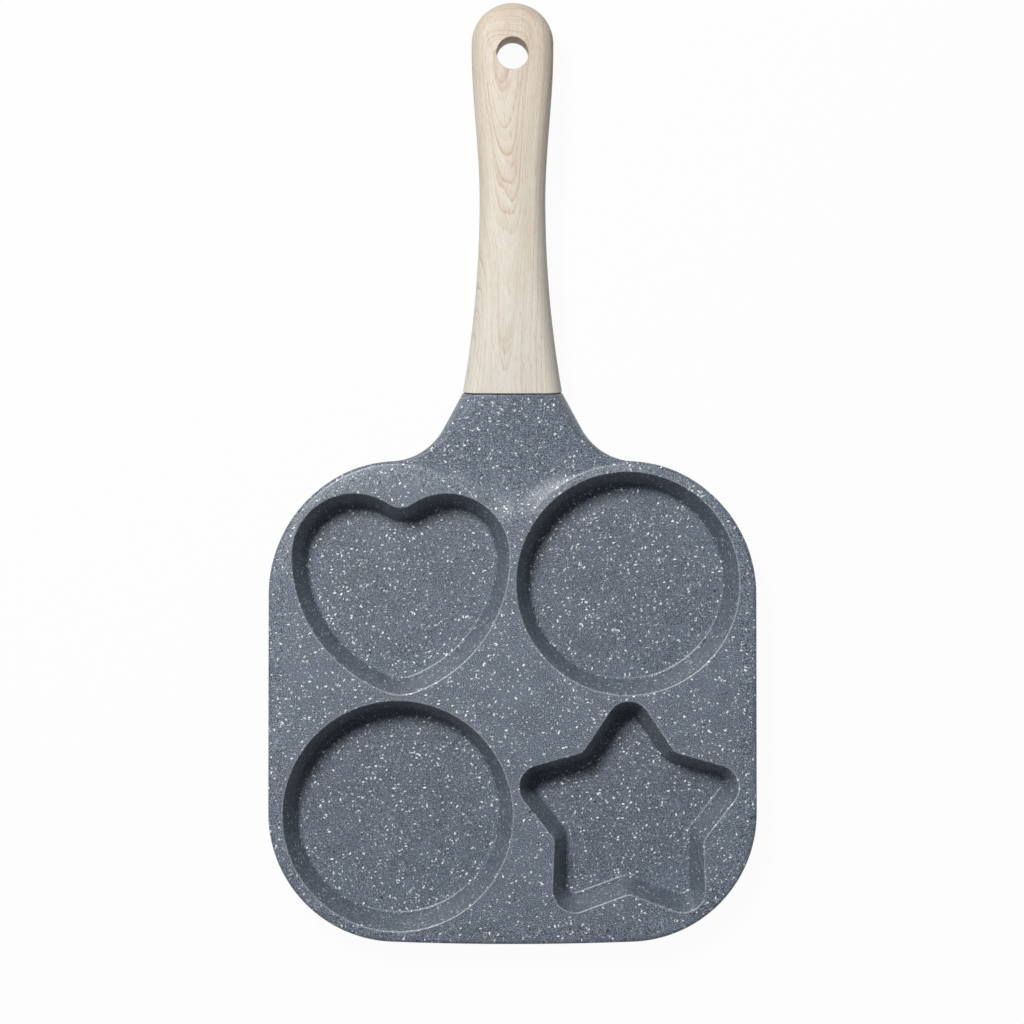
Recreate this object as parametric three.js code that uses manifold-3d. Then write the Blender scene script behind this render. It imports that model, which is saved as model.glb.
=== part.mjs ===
// Breakfast pan: a die-cast plate with four shaped cups, a flared neck and a tang,
// and a wooden grip that one screw from below holds on the tang.
// Millimetres. +X to the right, +Y towards the grip, +Z up.
// The finished part stands on z = 0 with its box centred on the origin.

import * as THREE from 'three';
import { mergeVertices } from 'three/addons/utils/BufferGeometryUtils.js';
import Module from 'manifold-3d';

const wasm = await Module();
wasm.setup();

const DEGREE = Math.PI / 180;

// Cup outlines, measured where their edges meet the deck.
const UPPER_ROUND_DIAMETER = 88;
const LOWER_ROUND_DIAMETER = 90.8;
const HEART_WIDTH = 86;
const HEART_LOBE_RADIUS = 24.9;
const HEART_TIP_DROP = 54.4;
const HEART_TIP_RADIUS = 16.5;
const HEART_CLEFT_RADIUS = 7.3;
const STAR_POINTS = 5;
const STAR_REACH = 45;
const STAR_TIP_RADIUS = 9.2;
const STAR_INNER_RADIUS = 4;
const STAR_TIP_HALF_ANGLE = 33.8 * DEGREE;

// Land left between neighbouring cups, and where the middle of each land lies.
const CUP_LAND = 1.3;
const UPPER_LAND_X = 0.15;
const LOWER_LAND_X = 1.35;
const LEFT_LAND_Y = 1.7;
const RIGHT_LAND_Y = 1.45;

// Cup walls, the same on all four.
const CUP_DEPTH = 17;
const CUP_DRAFT = 16 * DEGREE;
const CUP_EDGE_RADIUS = 1;
const CUP_FLOOR_FILLET = 1.5;
const CUP_WALL = 3;
const FLOOR_THICKNESS = 3;
const BASE_ROUND = 4;

// Deck plate round the cups. The side and end lands lie beyond the lower cups' mean reach.
const DECK_THICKNESS = 5;
const SIDE_LAND = 5.75;
const END_LAND = 8.25;
const COLLAR_LAND = 3.5;
const CORNER_EASE = 5.2;
const LOWER_CORNER_RADIUS = 50;
const COLLAR_TURN = 60 * DEGREE;
const END_BOW_RADIUS = 1200;
const NOTCH_RADIUS = 8;
const EDGE_CROWN_WIDTH = 1.6;
const EDGE_CROWN_DROP = 1.3;
const EDGE_UNDER_ROUND = 1;

// Neck between the deck and the grip, an open channel below.
const NECK_LENGTH = 25.8;
const NECK_TAPER = 29 * DEGREE;
const NECK_FLARE_RADIUS = 24;
const NECK_WALL = 4;
const NECK_END_WALL = 6;
const NECK_RISE = 2.4;
const NECK_TILT = 6 * DEGREE;
const NECK_ROOT_EDGE = 2.6;
const NECK_RIB_THICKNESS = 3;
const NECK_RIB_STEP = 1.5;
const NECK_END_ROUND = 0.5;
const VALLEY_LEAD = 4;
const VALLEY_RUN = 12;
const VALLEY_START_DROP = 0.6;
const VALLEY_DROP = 1.7;
const VALLEY_UNDERLAP = 0.6;

// Grip, along its own bent centre line from the joint to the tail.
const GRIP_LENGTH = 151.6;
const GRIP_JOINT_WIDTH = 38.8;
const GRIP_WAIST_WIDTH = 25.6;
const GRIP_WAIST_AT = 75;
const GRIP_TAIL_WIDTH = 31.8;
const GRIP_TAIL_SHOULDER = 2;
const GRIP_JOINT_THICKNESS = 18;
const GRIP_WAIST_THICKNESS = 15;
const GRIP_TAIL_THICKNESS = 14.4;
const GRIP_EDGE_WIDTH = 6;
const GRIP_CROWN = 0.7;
const GRIP_TAIL_TILT = -2.5 * DEGREE;
const HANG_HOLE_DIAMETER = 12.4;
const HANG_HOLE_EDGE = 0.6;
const HANG_HOLE_FROM_END = 20.6;

// Tang, its mortise in the grip and the screw through both.
const TANG_WIDTH = 20;
const TANG_THICKNESS = 6;
const TANG_LENGTH = 42;
const TANG_LIFT = 2;
const TANG_NOSE = 3;
const MORTISE_END_SPACE = 2;
const SCREW_FROM_JOINT = 24;
const SCREW_DIAMETER = 5;
const SCREW_TIP_INSET = 0.6;
const SCREW_HEAD_DIAMETER = 9;
const SCREW_HEAD_HEIGHT = 2.6;
const SCREW_HEAD_ROUND = 1;
const CROSS_SLOT_LENGTH = 5;
const CROSS_SLOT_WIDTH = 1.1;
const CROSS_SLOT_DEPTH = 1.5;
const SEAT_THICKNESS = 2.4;
const PLAIN_WASHER_DIAMETER = 10;
const PLAIN_WASHER_THICKNESS = 1;
const SPRING_WASHER_DIAMETER = 8.8;
const SPRING_WASHER_THICKNESS = 1.2;
const SPRING_WASHER_SPLIT = 0.9;

// Clearances.
const FIT_GAP = 0.3;
const SCREW_HOLE_GAP = 0.5;
const COUNTERBORE_GAP = 0.7;
const CUT_OVERRUN = 1;
const JOIN_OVERLAP = 3;

// How finely curves are stepped.
const ROUND_STEPS = 48;
const SCREW_STEPS = 24;
const CORNER_STEPS = 9;
const BOW_STEPS = 4;
const HEART_TIP_STEPS = 7;
const HEART_SIDE_STEPS = 8;
const HEART_LOBE_STEPS = 12;
const HEART_CLEFT_STEPS = 6;
const STAR_TIP_STEPS = 6;
const STAR_INNER_STEPS = 4;
const EDGE_STEPS = 3;
const GRIP_EDGE_STEPS = 4;
const CROWN_STEPS = 4;
const GRIP_STEPS = 22;
const TAIL_STEPS = 7;
const FLARE_STEPS = 7;
const TAPER_STEPS = 3;
const VALLEY_STEPS = 5;
const LEAST_RADIUS = 0.05;
const MERGE_DISTANCE = 1e-4;

// Looks.
const COATING = { color: 0x747c88, roughness: 0.5, metalness: 0.1 };
const WOOD = { color: 0xdcd4c6, roughness: 0.6, metalness: 0 };
const STEEL = { color: 0xb9bcc0, roughness: 0.35, metalness: 1 };
const SPRING_STEEL = { color: 0xa9adb2, roughness: 0.4, metalness: 1 };

// Closed outlines made of arcs, with straight runs between them. An outward offset widens
// the convex arcs and tightens the concave ones, so every offset has matching points.

function arc(x, y, radius, from, to, steps) {
  return { x, y, radius, from, to, steps };
}

function outlinePoints(arcs, offset) {
  return arcs.flatMap(({ x, y, radius, from, to, steps }) => {
    const grown = Math.max(LEAST_RADIUS, radius + (to > from ? offset : -offset));
    return Array.from({ length: steps + 1 }, (_, step) => {
      const angle = from + (to - from) * (step / steps);
      return new THREE.Vector2(x + grown * Math.cos(angle), y + grown * Math.sin(angle));
    });
  });
}

function roundArcs(x, y, radius) {
  const gap = 2 * Math.PI / ROUND_STEPS;
  return [arc(x, y, radius, 0, 2 * Math.PI - gap, ROUND_STEPS - 1)];
}

function heartArcs(x, lobeY) {
  const half = HEART_WIDTH / 2;
  const tipY = HEART_TIP_DROP - HEART_TIP_RADIUS;
  const sideRadius = (half ** 2 + HEART_TIP_DROP ** 2 - 2 * HEART_TIP_DROP * HEART_TIP_RADIUS)
    / (2 * (half - HEART_TIP_RADIUS));
  const lobeX = half - HEART_LOBE_RADIUS;
  const sideX = sideRadius - half;
  const cleftY = Math.sqrt((HEART_LOBE_RADIUS + HEART_CLEFT_RADIUS) ** 2 - lobeX ** 2);
  const tipTurn = Math.atan2(-tipY, sideX);
  const cleftTurn = Math.atan2(cleftY, -lobeX);
  return [
    arc(x, lobeY - tipY, HEART_TIP_RADIUS, -Math.PI - tipTurn, tipTurn, HEART_TIP_STEPS),
    arc(x - sideX, lobeY, sideRadius, tipTurn, 0, HEART_SIDE_STEPS),
    arc(x + lobeX, lobeY, HEART_LOBE_RADIUS, 0, cleftTurn, HEART_LOBE_STEPS),
    arc(x, lobeY + cleftY, HEART_CLEFT_RADIUS, cleftTurn - Math.PI, -cleftTurn, HEART_CLEFT_STEPS),
    arc(x - lobeX, lobeY, HEART_LOBE_RADIUS, Math.PI - cleftTurn, Math.PI, HEART_LOBE_STEPS),
    arc(x + sideX, lobeY, sideRadius, Math.PI, Math.PI - tipTurn, HEART_SIDE_STEPS),
  ];
}

function starArcs(x, y) {
  const tipOut = STAR_REACH - STAR_TIP_RADIUS;
  const pitch = 2 * Math.PI / STAR_POINTS;
  const flankTurn = Math.PI / 2 - STAR_TIP_HALF_ANGLE;
  const flankOut = tipOut * Math.sin(STAR_TIP_HALF_ANGLE) + STAR_TIP_RADIUS;
  const innerOut = (flankOut + STAR_INNER_RADIUS) / Math.cos(pitch / 2 - flankTurn);
  return Array.from({ length: STAR_POINTS }, (_, point) => Math.PI / 2 + point * pitch).flatMap((tip) => {
    const inner = tip + pitch / 2;
    return [
      arc(x + tipOut * Math.cos(tip), y + tipOut * Math.sin(tip), STAR_TIP_RADIUS,
        tip - flankTurn, tip + flankTurn, STAR_TIP_STEPS),
      arc(x + innerOut * Math.cos(inner), y + innerOut * Math.sin(inner), STAR_INNER_RADIUS,
        tip + flankTurn + Math.PI, tip + pitch - flankTurn + Math.PI, STAR_INNER_STEPS),
    ];
  });
}

// Solids as stacked rings of matching points, closed at both ends.

function polygonCap(flatten) {
  return (ring) => THREE.ShapeUtils.triangulateShape(ring.map(flatten), []);
}

const levelCap = polygonCap((point) => new THREE.Vector2(point.x, point.y));
const uprightCap = polygonCap((point) => new THREE.Vector2(point.x, point.z));

function geometryFrom(positions, index) {
  const geometry = new THREE.BufferGeometry();
  geometry.setAttribute('position', new THREE.Float32BufferAttribute(positions, 3));
  geometry.setIndex(index);
  return geometry;
}

function loft(rings, cap) {
  const count = rings[0].length;
  const index = [];
  for (let level = 0; level + 1 < rings.length; level += 1) {
    for (let point = 0; point < count; point += 1) {
      const near = level * count + point;
      const next = level * count + (point + 1) % count;
      index.push(near, next, near + count, next, next + count, near + count);
    }
  }
  const last = (rings.length - 1) * count;
  cap(rings[0]).forEach(([a, b, c]) => index.push(a, c, b));
  cap(rings.at(-1)).forEach(([a, b, c]) => index.push(last + a, last + b, last + c));
  return geometryFrom(rings.flat().flatMap((point) => [point.x, point.y, point.z]), index);
}

// Stacks one outline at the offsets and heights of a profile, lowest first.
function stackOutline(arcs, profile) {
  const rings = profile.map(({ offset, z }) => outlinePoints(arcs, offset)
    .map((point) => new THREE.Vector3(point.x, point.y, z)));
  return loft(rings, levelCap);
}

function signedVolume(geometry) {
  const position = geometry.getAttribute('position');
  const index = geometry.getIndex();
  const [a, b, c] = [new THREE.Vector3(), new THREE.Vector3(), new THREE.Vector3()];
  let volume = 0;
  for (let corner = 0; corner < index.count; corner += 3) {
    a.fromBufferAttribute(position, index.getX(corner));
    b.fromBufferAttribute(position, index.getX(corner + 1));
    c.fromBufferAttribute(position, index.getX(corner + 2));
    volume += a.dot(b.cross(c)) / 6;
  }
  return volume;
}

// Joins shared vertices, drops the empty triangles at a pole and turns the faces outward.
function solid(geometry) {
  const bare = geometry.clone();
  bare.deleteAttribute('normal');
  bare.deleteAttribute('uv');
  const merged = mergeVertices(bare, MERGE_DISTANCE);
  const corners = merged.getIndex().array;
  const kept = [];
  for (let corner = 0; corner < corners.length; corner += 3) {
    const [a, b, c] = corners.slice(corner, corner + 3);
    if (a !== b && b !== c && c !== a) {
      kept.push(a, b, c);
    }
  }
  merged.setIndex(kept);
  const inward = signedVolume(merged) < 0;
  const triVerts = new Uint32Array(inward ? kept.toReversed() : kept);
  const vertProperties = new Float32Array(merged.getAttribute('position').array);
  return new wasm.Manifold(new wasm.Mesh({ numProp: 3, vertProperties, triVerts }));
}

function joined(solids) {
  return solids.reduce((whole, piece) => whole.add(piece));
}

function cutFrom(whole, cutters) {
  return cutters.reduce((rest, cutter) => rest.subtract(cutter), whole);
}

function part(name, body, look) {
  const { vertProperties, triVerts } = body.getMesh();
  const geometry = geometryFrom(Array.from(vertProperties), Array.from(triVerts));
  geometry.computeVertexNormals();
  const mesh = new THREE.Mesh(geometry, new THREE.MeshStandardMaterial(look));
  mesh.name = name;
  return mesh;
}

// A round body about the line x = 0, y = along, standing on the profile's radii and heights.
function turned(profile, along) {
  const points = profile.map(([radius, height]) => new THREE.Vector2(radius, height));
  const lathe = new THREE.LatheGeometry(points, SCREW_STEPS);
  lathe.rotateX(Math.PI / 2);
  lathe.translate(0, along, 0);
  return solid(lathe);
}

function cylinder(radius, bottom, top, along) {
  return turned([[0, bottom], [radius, bottom], [radius, top], [0, top]], along);
}

function box(width, length, height, x, y, z) {
  const geometry = new THREE.BoxGeometry(width, length, height);
  geometry.translate(x, y, z);
  return solid(geometry);
}

// A curve between two heights with a given slope at each end.
function eased(at, start, end) {
  const run = end.y - start.y;
  const t = (at - start.y) / run;
  return (2 * t ** 3 - 3 * t ** 2 + 1) * start.z + (t ** 3 - 2 * t ** 2 + t) * run * start.slope
    + (3 * t ** 2 - 2 * t ** 3) * end.z + (t ** 3 - t ** 2) * run * end.slope;
}

function stations(from, to, steps) {
  return Array.from({ length: steps + 1 }, (_, step) => from + (to - from) * (step / steps));
}

// Where the cups and the deck's edge lie.

const deckTop = FLOOR_THICKNESS + CUP_DEPTH;
const deckBottom = deckTop - DECK_THICKNESS;
const halfLand = CUP_LAND / 2;
const upperRadius = UPPER_ROUND_DIAMETER / 2;
const lowerRadius = LOWER_ROUND_DIAMETER / 2;
const starHalfWidth = (STAR_REACH - STAR_TIP_RADIUS) * Math.sin(2 * Math.PI / STAR_POINTS) + STAR_TIP_RADIUS;
const starDrop = (STAR_REACH - STAR_TIP_RADIUS) * Math.cos(Math.PI / STAR_POINTS) + STAR_TIP_RADIUS;

const heart = { x: UPPER_LAND_X - halfLand - HEART_WIDTH / 2, y: LEFT_LAND_Y + halfLand + HEART_TIP_DROP };
const upperRound = { x: UPPER_LAND_X + halfLand + upperRadius, y: RIGHT_LAND_Y + halfLand + upperRadius };
const lowerRound = { x: LOWER_LAND_X - halfLand - lowerRadius, y: LEFT_LAND_Y - halfLand - lowerRadius };
const star = { x: LOWER_LAND_X + halfLand + starHalfWidth, y: RIGHT_LAND_Y - halfLand - STAR_REACH };

const cups = [
  heartArcs(heart.x, heart.y),
  roundArcs(upperRound.x, upperRound.y, upperRadius),
  roundArcs(lowerRound.x, lowerRound.y, lowerRadius),
  starArcs(star.x, star.y),
];

const collarRadius = upperRadius + COLLAR_LAND;
const cornerRadius = collarRadius + CORNER_EASE;
const upperHalfWidth = Math.max(
  upperRound.x + collarRadius + CORNER_EASE * (1 - Math.cos(COLLAR_TURN)),
  HEART_WIDTH / 2 - heart.x + SIDE_LAND,
);
const deckEnd = Math.max(
  upperRound.y + collarRadius + CORNER_EASE * (1 - Math.sin(COLLAR_TURN)),
  heart.y + HEART_LOBE_RADIUS + END_LAND,
);
const lowerHalfWidth = (lowerRadius - lowerRound.x + star.x + starHalfWidth) / 2 + SIDE_LAND;
const deckStart = (lowerRound.y - lowerRadius + star.y - starDrop) / 2 - END_LAND;

const upperCorner = { x: upperHalfWidth - cornerRadius, y: deckEnd - cornerRadius };
const bowReach = END_BOW_RADIUS - LOWER_CORNER_RADIUS;
const bowTurn = Math.asin((lowerHalfWidth - LOWER_CORNER_RADIUS) / bowReach);
const bowY = deckStart + END_BOW_RADIUS;
const lowerCorner = { x: lowerHalfWidth - LOWER_CORNER_RADIUS, y: bowY - bowReach * Math.cos(bowTurn) };
const collar = {
  x: upperCorner.x + CORNER_EASE * Math.cos(COLLAR_TURN),
  y: upperCorner.y + CORNER_EASE * Math.sin(COLLAR_TURN),
};
const notchY = collar.y + Math.sqrt((collarRadius + NOTCH_RADIUS) ** 2 - collar.x ** 2);

// The deck's outline: a slightly bowed lower end, four corners, and above them a collar round
// each upper cup that turns in to the notch where the neck's valley begins.
function deckArcs() {
  const apart = { x: lowerCorner.x - upperCorner.x, y: upperCorner.y - lowerCorner.y };
  const sideTurn = Math.atan2(apart.x, apart.y)
    + Math.asin((LOWER_CORNER_RADIUS - cornerRadius) / Math.hypot(apart.x, apart.y));
  const notchTurn = Math.atan2(notchY - collar.y, -collar.x);
  const half = Math.PI / 2;
  return [
    arc(0, bowY, END_BOW_RADIUS, -half - bowTurn, -half + bowTurn, BOW_STEPS),
    arc(lowerCorner.x, lowerCorner.y, LOWER_CORNER_RADIUS, -half + bowTurn, sideTurn, CORNER_STEPS),
    arc(upperCorner.x, upperCorner.y, cornerRadius, sideTurn, COLLAR_TURN, CORNER_STEPS),
    arc(collar.x, collar.y, collarRadius, COLLAR_TURN, notchTurn, CORNER_STEPS),
    arc(0, notchY, NOTCH_RADIUS, notchTurn - Math.PI, -notchTurn, CORNER_STEPS),
    arc(-collar.x, collar.y, collarRadius, Math.PI - notchTurn, Math.PI - COLLAR_TURN, CORNER_STEPS),
    arc(-upperCorner.x, upperCorner.y, cornerRadius, Math.PI - COLLAR_TURN, Math.PI - sideTurn, CORNER_STEPS),
    arc(-lowerCorner.x, lowerCorner.y, LOWER_CORNER_RADIUS, Math.PI - sideTurn, Math.PI + half - bowTurn,
      CORNER_STEPS),
  ];
}

function deckPlate() {
  const profile = [
    { offset: -EDGE_UNDER_ROUND, z: deckBottom },
    { offset: 0, z: deckBottom + EDGE_UNDER_ROUND },
  ];
  for (const angle of stations(0, Math.PI / 2, EDGE_STEPS)) {
    profile.push({
      offset: EDGE_CROWN_WIDTH * (Math.cos(angle) - 1),
      z: deckTop - EDGE_CROWN_DROP * (1 - Math.sin(angle)),
    });
  }
  return solid(stackOutline(deckArcs(), profile));
}

// The inner wall of a cup, from its floor to its rounded edge, as offsets from its outline.

const wallTop = {
  offset: -CUP_EDGE_RADIUS * Math.cos(CUP_DRAFT),
  z: deckTop - CUP_EDGE_RADIUS * (1 - Math.sin(CUP_DRAFT)),
};

function wallOffset(z) {
  return wallTop.offset - (wallTop.z - z) * Math.tan(CUP_DRAFT);
}

function cupHollow(arcs) {
  const filletTop = FLOOR_THICKNESS + CUP_FLOOR_FILLET * (1 - Math.sin(CUP_DRAFT));
  const filletOffset = wallOffset(filletTop) - CUP_FLOOR_FILLET * Math.cos(CUP_DRAFT);
  const profile = stations(-Math.PI / 2, -CUP_DRAFT, EDGE_STEPS - 1).map((angle) => ({
    offset: filletOffset + CUP_FLOOR_FILLET * Math.cos(angle),
    z: FLOOR_THICKNESS + CUP_FLOOR_FILLET * (1 + Math.sin(angle)),
  }));
  for (const angle of stations(Math.PI / 2 - CUP_DRAFT, 0, EDGE_STEPS)) {
    profile.push({
      offset: -CUP_EDGE_RADIUS * Math.sin(angle),
      z: deckTop - CUP_EDGE_RADIUS * (1 - Math.cos(angle)),
    });
  }
  profile.push({ offset: 0, z: deckTop + CUT_OVERRUN });
  return solid(stackOutline(arcs, profile));
}

function cupShell(arcs) {
  const thicker = CUP_WALL / Math.cos(CUP_DRAFT);
  const roundTop = BASE_ROUND * (1 - Math.sin(CUP_DRAFT));
  const roundOffset = wallOffset(roundTop) + thicker - BASE_ROUND * Math.cos(CUP_DRAFT);
  const profile = stations(-Math.PI / 2, -CUP_DRAFT, EDGE_STEPS - 1).map((angle) => ({
    offset: roundOffset + BASE_ROUND * Math.cos(angle),
    z: BASE_ROUND * (1 + Math.sin(angle)),
  }));
  const shellTop = deckTop - EDGE_CROWN_DROP - CUT_OVERRUN;
  profile.push({ offset: wallOffset(shellTop) + thicker, z: shellTop });
  return solid(stackOutline(arcs, profile));
}

// The joint between neck and grip. Its frame stands at the middle of the joint face, tilted
// back so that its +Y runs along the tang.

const neckStart = collar.y + collarRadius;
const jointTop = { y: neckStart + NECK_LENGTH, z: deckTop + NECK_RISE };
const jointHalf = GRIP_JOINT_THICKNESS / 2;
const jointFrame = new THREE.Matrix4().makeRotationX(NECK_TILT).setPosition(
  0,
  jointTop.y + jointHalf * Math.sin(NECK_TILT),
  jointTop.z - jointHalf * Math.cos(NECK_TILT),
);

// The neck's plan: inside the collars as far as the deck's edge, then the flare, an arc that
// leaves the deck's edge and runs into the straight taper up to the joint.

const flareTurn = Math.PI / 2 - NECK_TAPER;
const flareTangent = NECK_FLARE_RADIUS * Math.tan(flareTurn / 2);
const flareX = GRIP_JOINT_WIDTH / 2 + NECK_LENGTH * Math.tan(NECK_TAPER) + flareTangent;
const flareEnd = neckStart + flareTangent * Math.cos(NECK_TAPER);

function neckHalfWidth(y) {
  if (y < neckStart) {
    const inner = collarRadius - NECK_ROOT_EDGE - VALLEY_UNDERLAP;
    const reach = inner ** 2 - Math.max(0, y - collar.y) ** 2;
    return Math.min(flareX, collar.x - Math.sqrt(Math.max(0, reach)));
  }
  if (y < flareEnd) {
    const above = NECK_FLARE_RADIUS - (y - neckStart);
    return flareX - Math.sqrt(NECK_FLARE_RADIUS ** 2 - above ** 2);
  }
  return GRIP_JOINT_WIDTH / 2 + Math.max(0, jointTop.y - y) * Math.tan(NECK_TAPER);
}

// Stations along the neck's upper line, close together where the flare turns most.
function neckStations(end) {
  const flare = stations(0, flareTurn, FLARE_STEPS)
    .map((turn) => neckStart + NECK_FLARE_RADIUS * (1 - Math.cos(turn)));
  return [...flare, ...stations(flareEnd, end, TAPER_STEPS).slice(1)];
}

const valleyStart = { y: notchY - NOTCH_RADIUS - VALLEY_LEAD, z: deckTop - VALLEY_START_DROP, slope: 0 };
const valleyLow = { y: notchY - NOTCH_RADIUS + VALLEY_RUN, z: deckTop - VALLEY_DROP, slope: 0 };
const neckTopEnd = { ...jointTop, slope: Math.tan(NECK_TILT) };
const neckBottomStart = { y: neckStart, z: deckBottom, slope: 0 };
const neckBottomEnd = {
  y: jointTop.y + GRIP_JOINT_THICKNESS * Math.sin(NECK_TILT),
  z: jointTop.z - GRIP_JOINT_THICKNESS * Math.cos(NECK_TILT),
  slope: Math.tan(NECK_TILT),
};

function neckTopAt(y) {
  return y < valleyLow.y ? eased(y, valleyStart, valleyLow) : eased(y, valleyLow, neckTopEnd);
}

// The neck's upper and lower lines beyond the deck's edge, at a place on the upper one.
function neckLines(topY) {
  const share = (topY - neckStart) / (jointTop.y - neckStart);
  const bottomY = neckStart + (neckBottomEnd.y - neckStart) * share;
  return {
    top: { y: topY, z: neckTopAt(topY) },
    bottom: { y: bottomY, z: eased(bottomY, neckBottomStart, neckBottomEnd) },
    halfWidth: neckHalfWidth(topY),
    edge: NECK_ROOT_EDGE + (GRIP_EDGE_WIDTH - NECK_ROOT_EDGE) * share,
  };
}

function valleyLines(y) {
  return {
    top: { y, z: neckTopAt(y) },
    bottom: { y, z: deckBottom },
    halfWidth: neckHalfWidth(y),
    edge: NECK_ROOT_EDGE,
  };
}

// One cross-section between the two lines: rounded sides, a crowned top and a flat bottom.
function neckSection({ top, bottom, halfWidth, edge }) {
  const middle = { y: (top.y + bottom.y) / 2, z: (top.z + bottom.z) / 2 };
  const rise = { y: (top.y - bottom.y) / 2, z: (top.z - bottom.z) / 2 };
  const flat = halfWidth - edge;
  const across = (x, lift) => new THREE.Vector3(x, middle.y + rise.y * lift, middle.z + rise.z * lift);
  const crown = GRIP_CROWN / Math.hypot(rise.y, rise.z);
  const right = stations(-Math.PI / 2, Math.PI / 2, 2 * GRIP_EDGE_STEPS)
    .map((angle) => across(flat + edge * Math.cos(angle), Math.sin(angle)));
  const over = stations(1, -1, CROWN_STEPS).slice(1, -1)
    .map((share) => across(flat * share, 1 + crown * (1 - share ** 2)));
  const left = right.map((point) => new THREE.Vector3(-point.x, point.y, point.z)).reverse();
  return [...right, ...over, ...left];
}

// The same section drawn in on all sides, for the rounded end at the joint.
function drawnIn({ top, bottom, halfWidth, edge }, inset) {
  return {
    top: { y: top.y, z: top.z - inset },
    bottom: { y: bottom.y, z: bottom.z + inset },
    halfWidth: halfWidth - inset,
    edge: edge - inset,
  };
}

function neckBody() {
  const valley = stations(valleyStart.y, neckStart, VALLEY_STEPS).slice(0, -1).map(valleyLines);
  const flare = neckStations(jointTop.y - NECK_END_ROUND).map(neckLines);
  const end = drawnIn(neckLines(jointTop.y), NECK_END_ROUND);
  return solid(loft([...valley, ...flare, end].map(neckSection), uprightCap));
}

// The hollow below the neck, which leaves its top and side walls and the wall at the joint.
function neckHollow() {
  const rings = neckStations(jointTop.y - NECK_END_WALL).map(neckLines).map(({ top, bottom, halfWidth }) => {
    const roof = top.z - NECK_WALL;
    return neckSection({
      top: { y: top.y, z: roof },
      bottom: { y: bottom.y, z: Math.min(bottom.z, roof) - 2 * CUT_OVERRUN },
      halfWidth: halfWidth - NECK_WALL,
      edge: NECK_ROOT_EDGE,
    });
  });
  return solid(loft(rings, uprightCap));
}

function neckRib() {
  const half = NECK_RIB_THICKNESS / 2;
  const rings = neckStations(jointTop.y - JOIN_OVERLAP).map(neckLines).map(({ top, bottom }) => {
    const low = Math.min(bottom.z + NECK_RIB_STEP, top.z - NECK_WALL);
    const high = top.z - NECK_WALL / 2;
    return [
      new THREE.Vector3(half, bottom.y, low),
      new THREE.Vector3(half, top.y, high),
      new THREE.Vector3(-half, top.y, high),
      new THREE.Vector3(-half, bottom.y, low),
    ];
  });
  return solid(loft(rings, uprightCap));
}

// A flat bar with half-round sides, as a ring across the joint frame's Y.
function barRing(width, thickness, along) {
  const radius = thickness / 2;
  const flat = width / 2 - radius;
  const right = stations(-Math.PI / 2, Math.PI / 2, 2 * EDGE_STEPS).map((angle) => new THREE.Vector3(
    flat + radius * Math.cos(angle),
    along,
    TANG_LIFT + radius * Math.sin(angle),
  ));
  const left = right.map((point) => new THREE.Vector3(-point.x, point.y, point.z)).reverse();
  return [...right, ...left];
}

function tang() {
  const rings = [
    barRing(TANG_WIDTH, TANG_THICKNESS, -JOIN_OVERLAP),
    barRing(TANG_WIDTH, TANG_THICKNESS, TANG_LENGTH - TANG_NOSE),
    barRing(TANG_WIDTH - TANG_NOSE, TANG_THICKNESS - TANG_NOSE / 2, TANG_LENGTH),
  ];
  return solid(loft(rings, uprightCap).applyMatrix4(jointFrame));
}

const tangBottom = TANG_LIFT - TANG_THICKNESS / 2;
const tangTop = TANG_LIFT + TANG_THICKNESS / 2;

function tappedHole() {
  const radius = SCREW_DIAMETER / 2 + FIT_GAP;
  const lathe = new THREE.CylinderGeometry(radius, radius, TANG_THICKNESS + 2 * CUT_OVERRUN, SCREW_STEPS);
  lathe.rotateX(Math.PI / 2);
  lathe.translate(0, SCREW_FROM_JOINT, TANG_LIFT);
  return solid(lathe.applyMatrix4(jointFrame));
}

function panCasting() {
  const neck = neckBody().subtract(neckHollow()).add(neckRib());
  const plate = joined([deckPlate(), neck, tang(), ...cups.map(cupShell)]);
  return cutFrom(plate, [...cups.map(cupHollow), tappedHole()]);
}

// The grip, drawn flat along Y and then bent down along an arc, so that it leaves the joint at
// the neck's tilt and ends nearly level.

const bend = (NECK_TILT - GRIP_TAIL_TILT) / GRIP_LENGTH;
const tailRadius = GRIP_TAIL_WIDTH / 2;
const tailCentre = GRIP_LENGTH - tailRadius;
const tailShoulder = tailCentre - GRIP_TAIL_SHOULDER;

function bent(x, along, lift) {
  const radius = 1 / bend + lift;
  return new THREE.Vector3(x, radius * Math.sin(along * bend), radius * Math.cos(along * bend) - 1 / bend);
}

function smoothStep(from, to, at) {
  return THREE.MathUtils.smoothstep(at, from, to);
}

function gripHalfWidth(along) {
  const waist = GRIP_WAIST_WIDTH / 2;
  if (along < GRIP_WAIST_AT) {
    return waist + (GRIP_JOINT_WIDTH / 2 - waist) * (1 - along / GRIP_WAIST_AT) ** 2;
  }
  return waist + (tailRadius - waist) * smoothStep(GRIP_WAIST_AT, tailShoulder, along);
}

function gripHalfThickness(along) {
  const [joint, waist, tail] = [GRIP_JOINT_THICKNESS, GRIP_WAIST_THICKNESS, GRIP_TAIL_THICKNESS];
  const toWaist = joint + (waist - joint) * smoothStep(0, GRIP_WAIST_AT, along);
  return (toWaist + (tail - waist) * smoothStep(GRIP_WAIST_AT, tailShoulder, along)) / 2;
}

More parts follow.
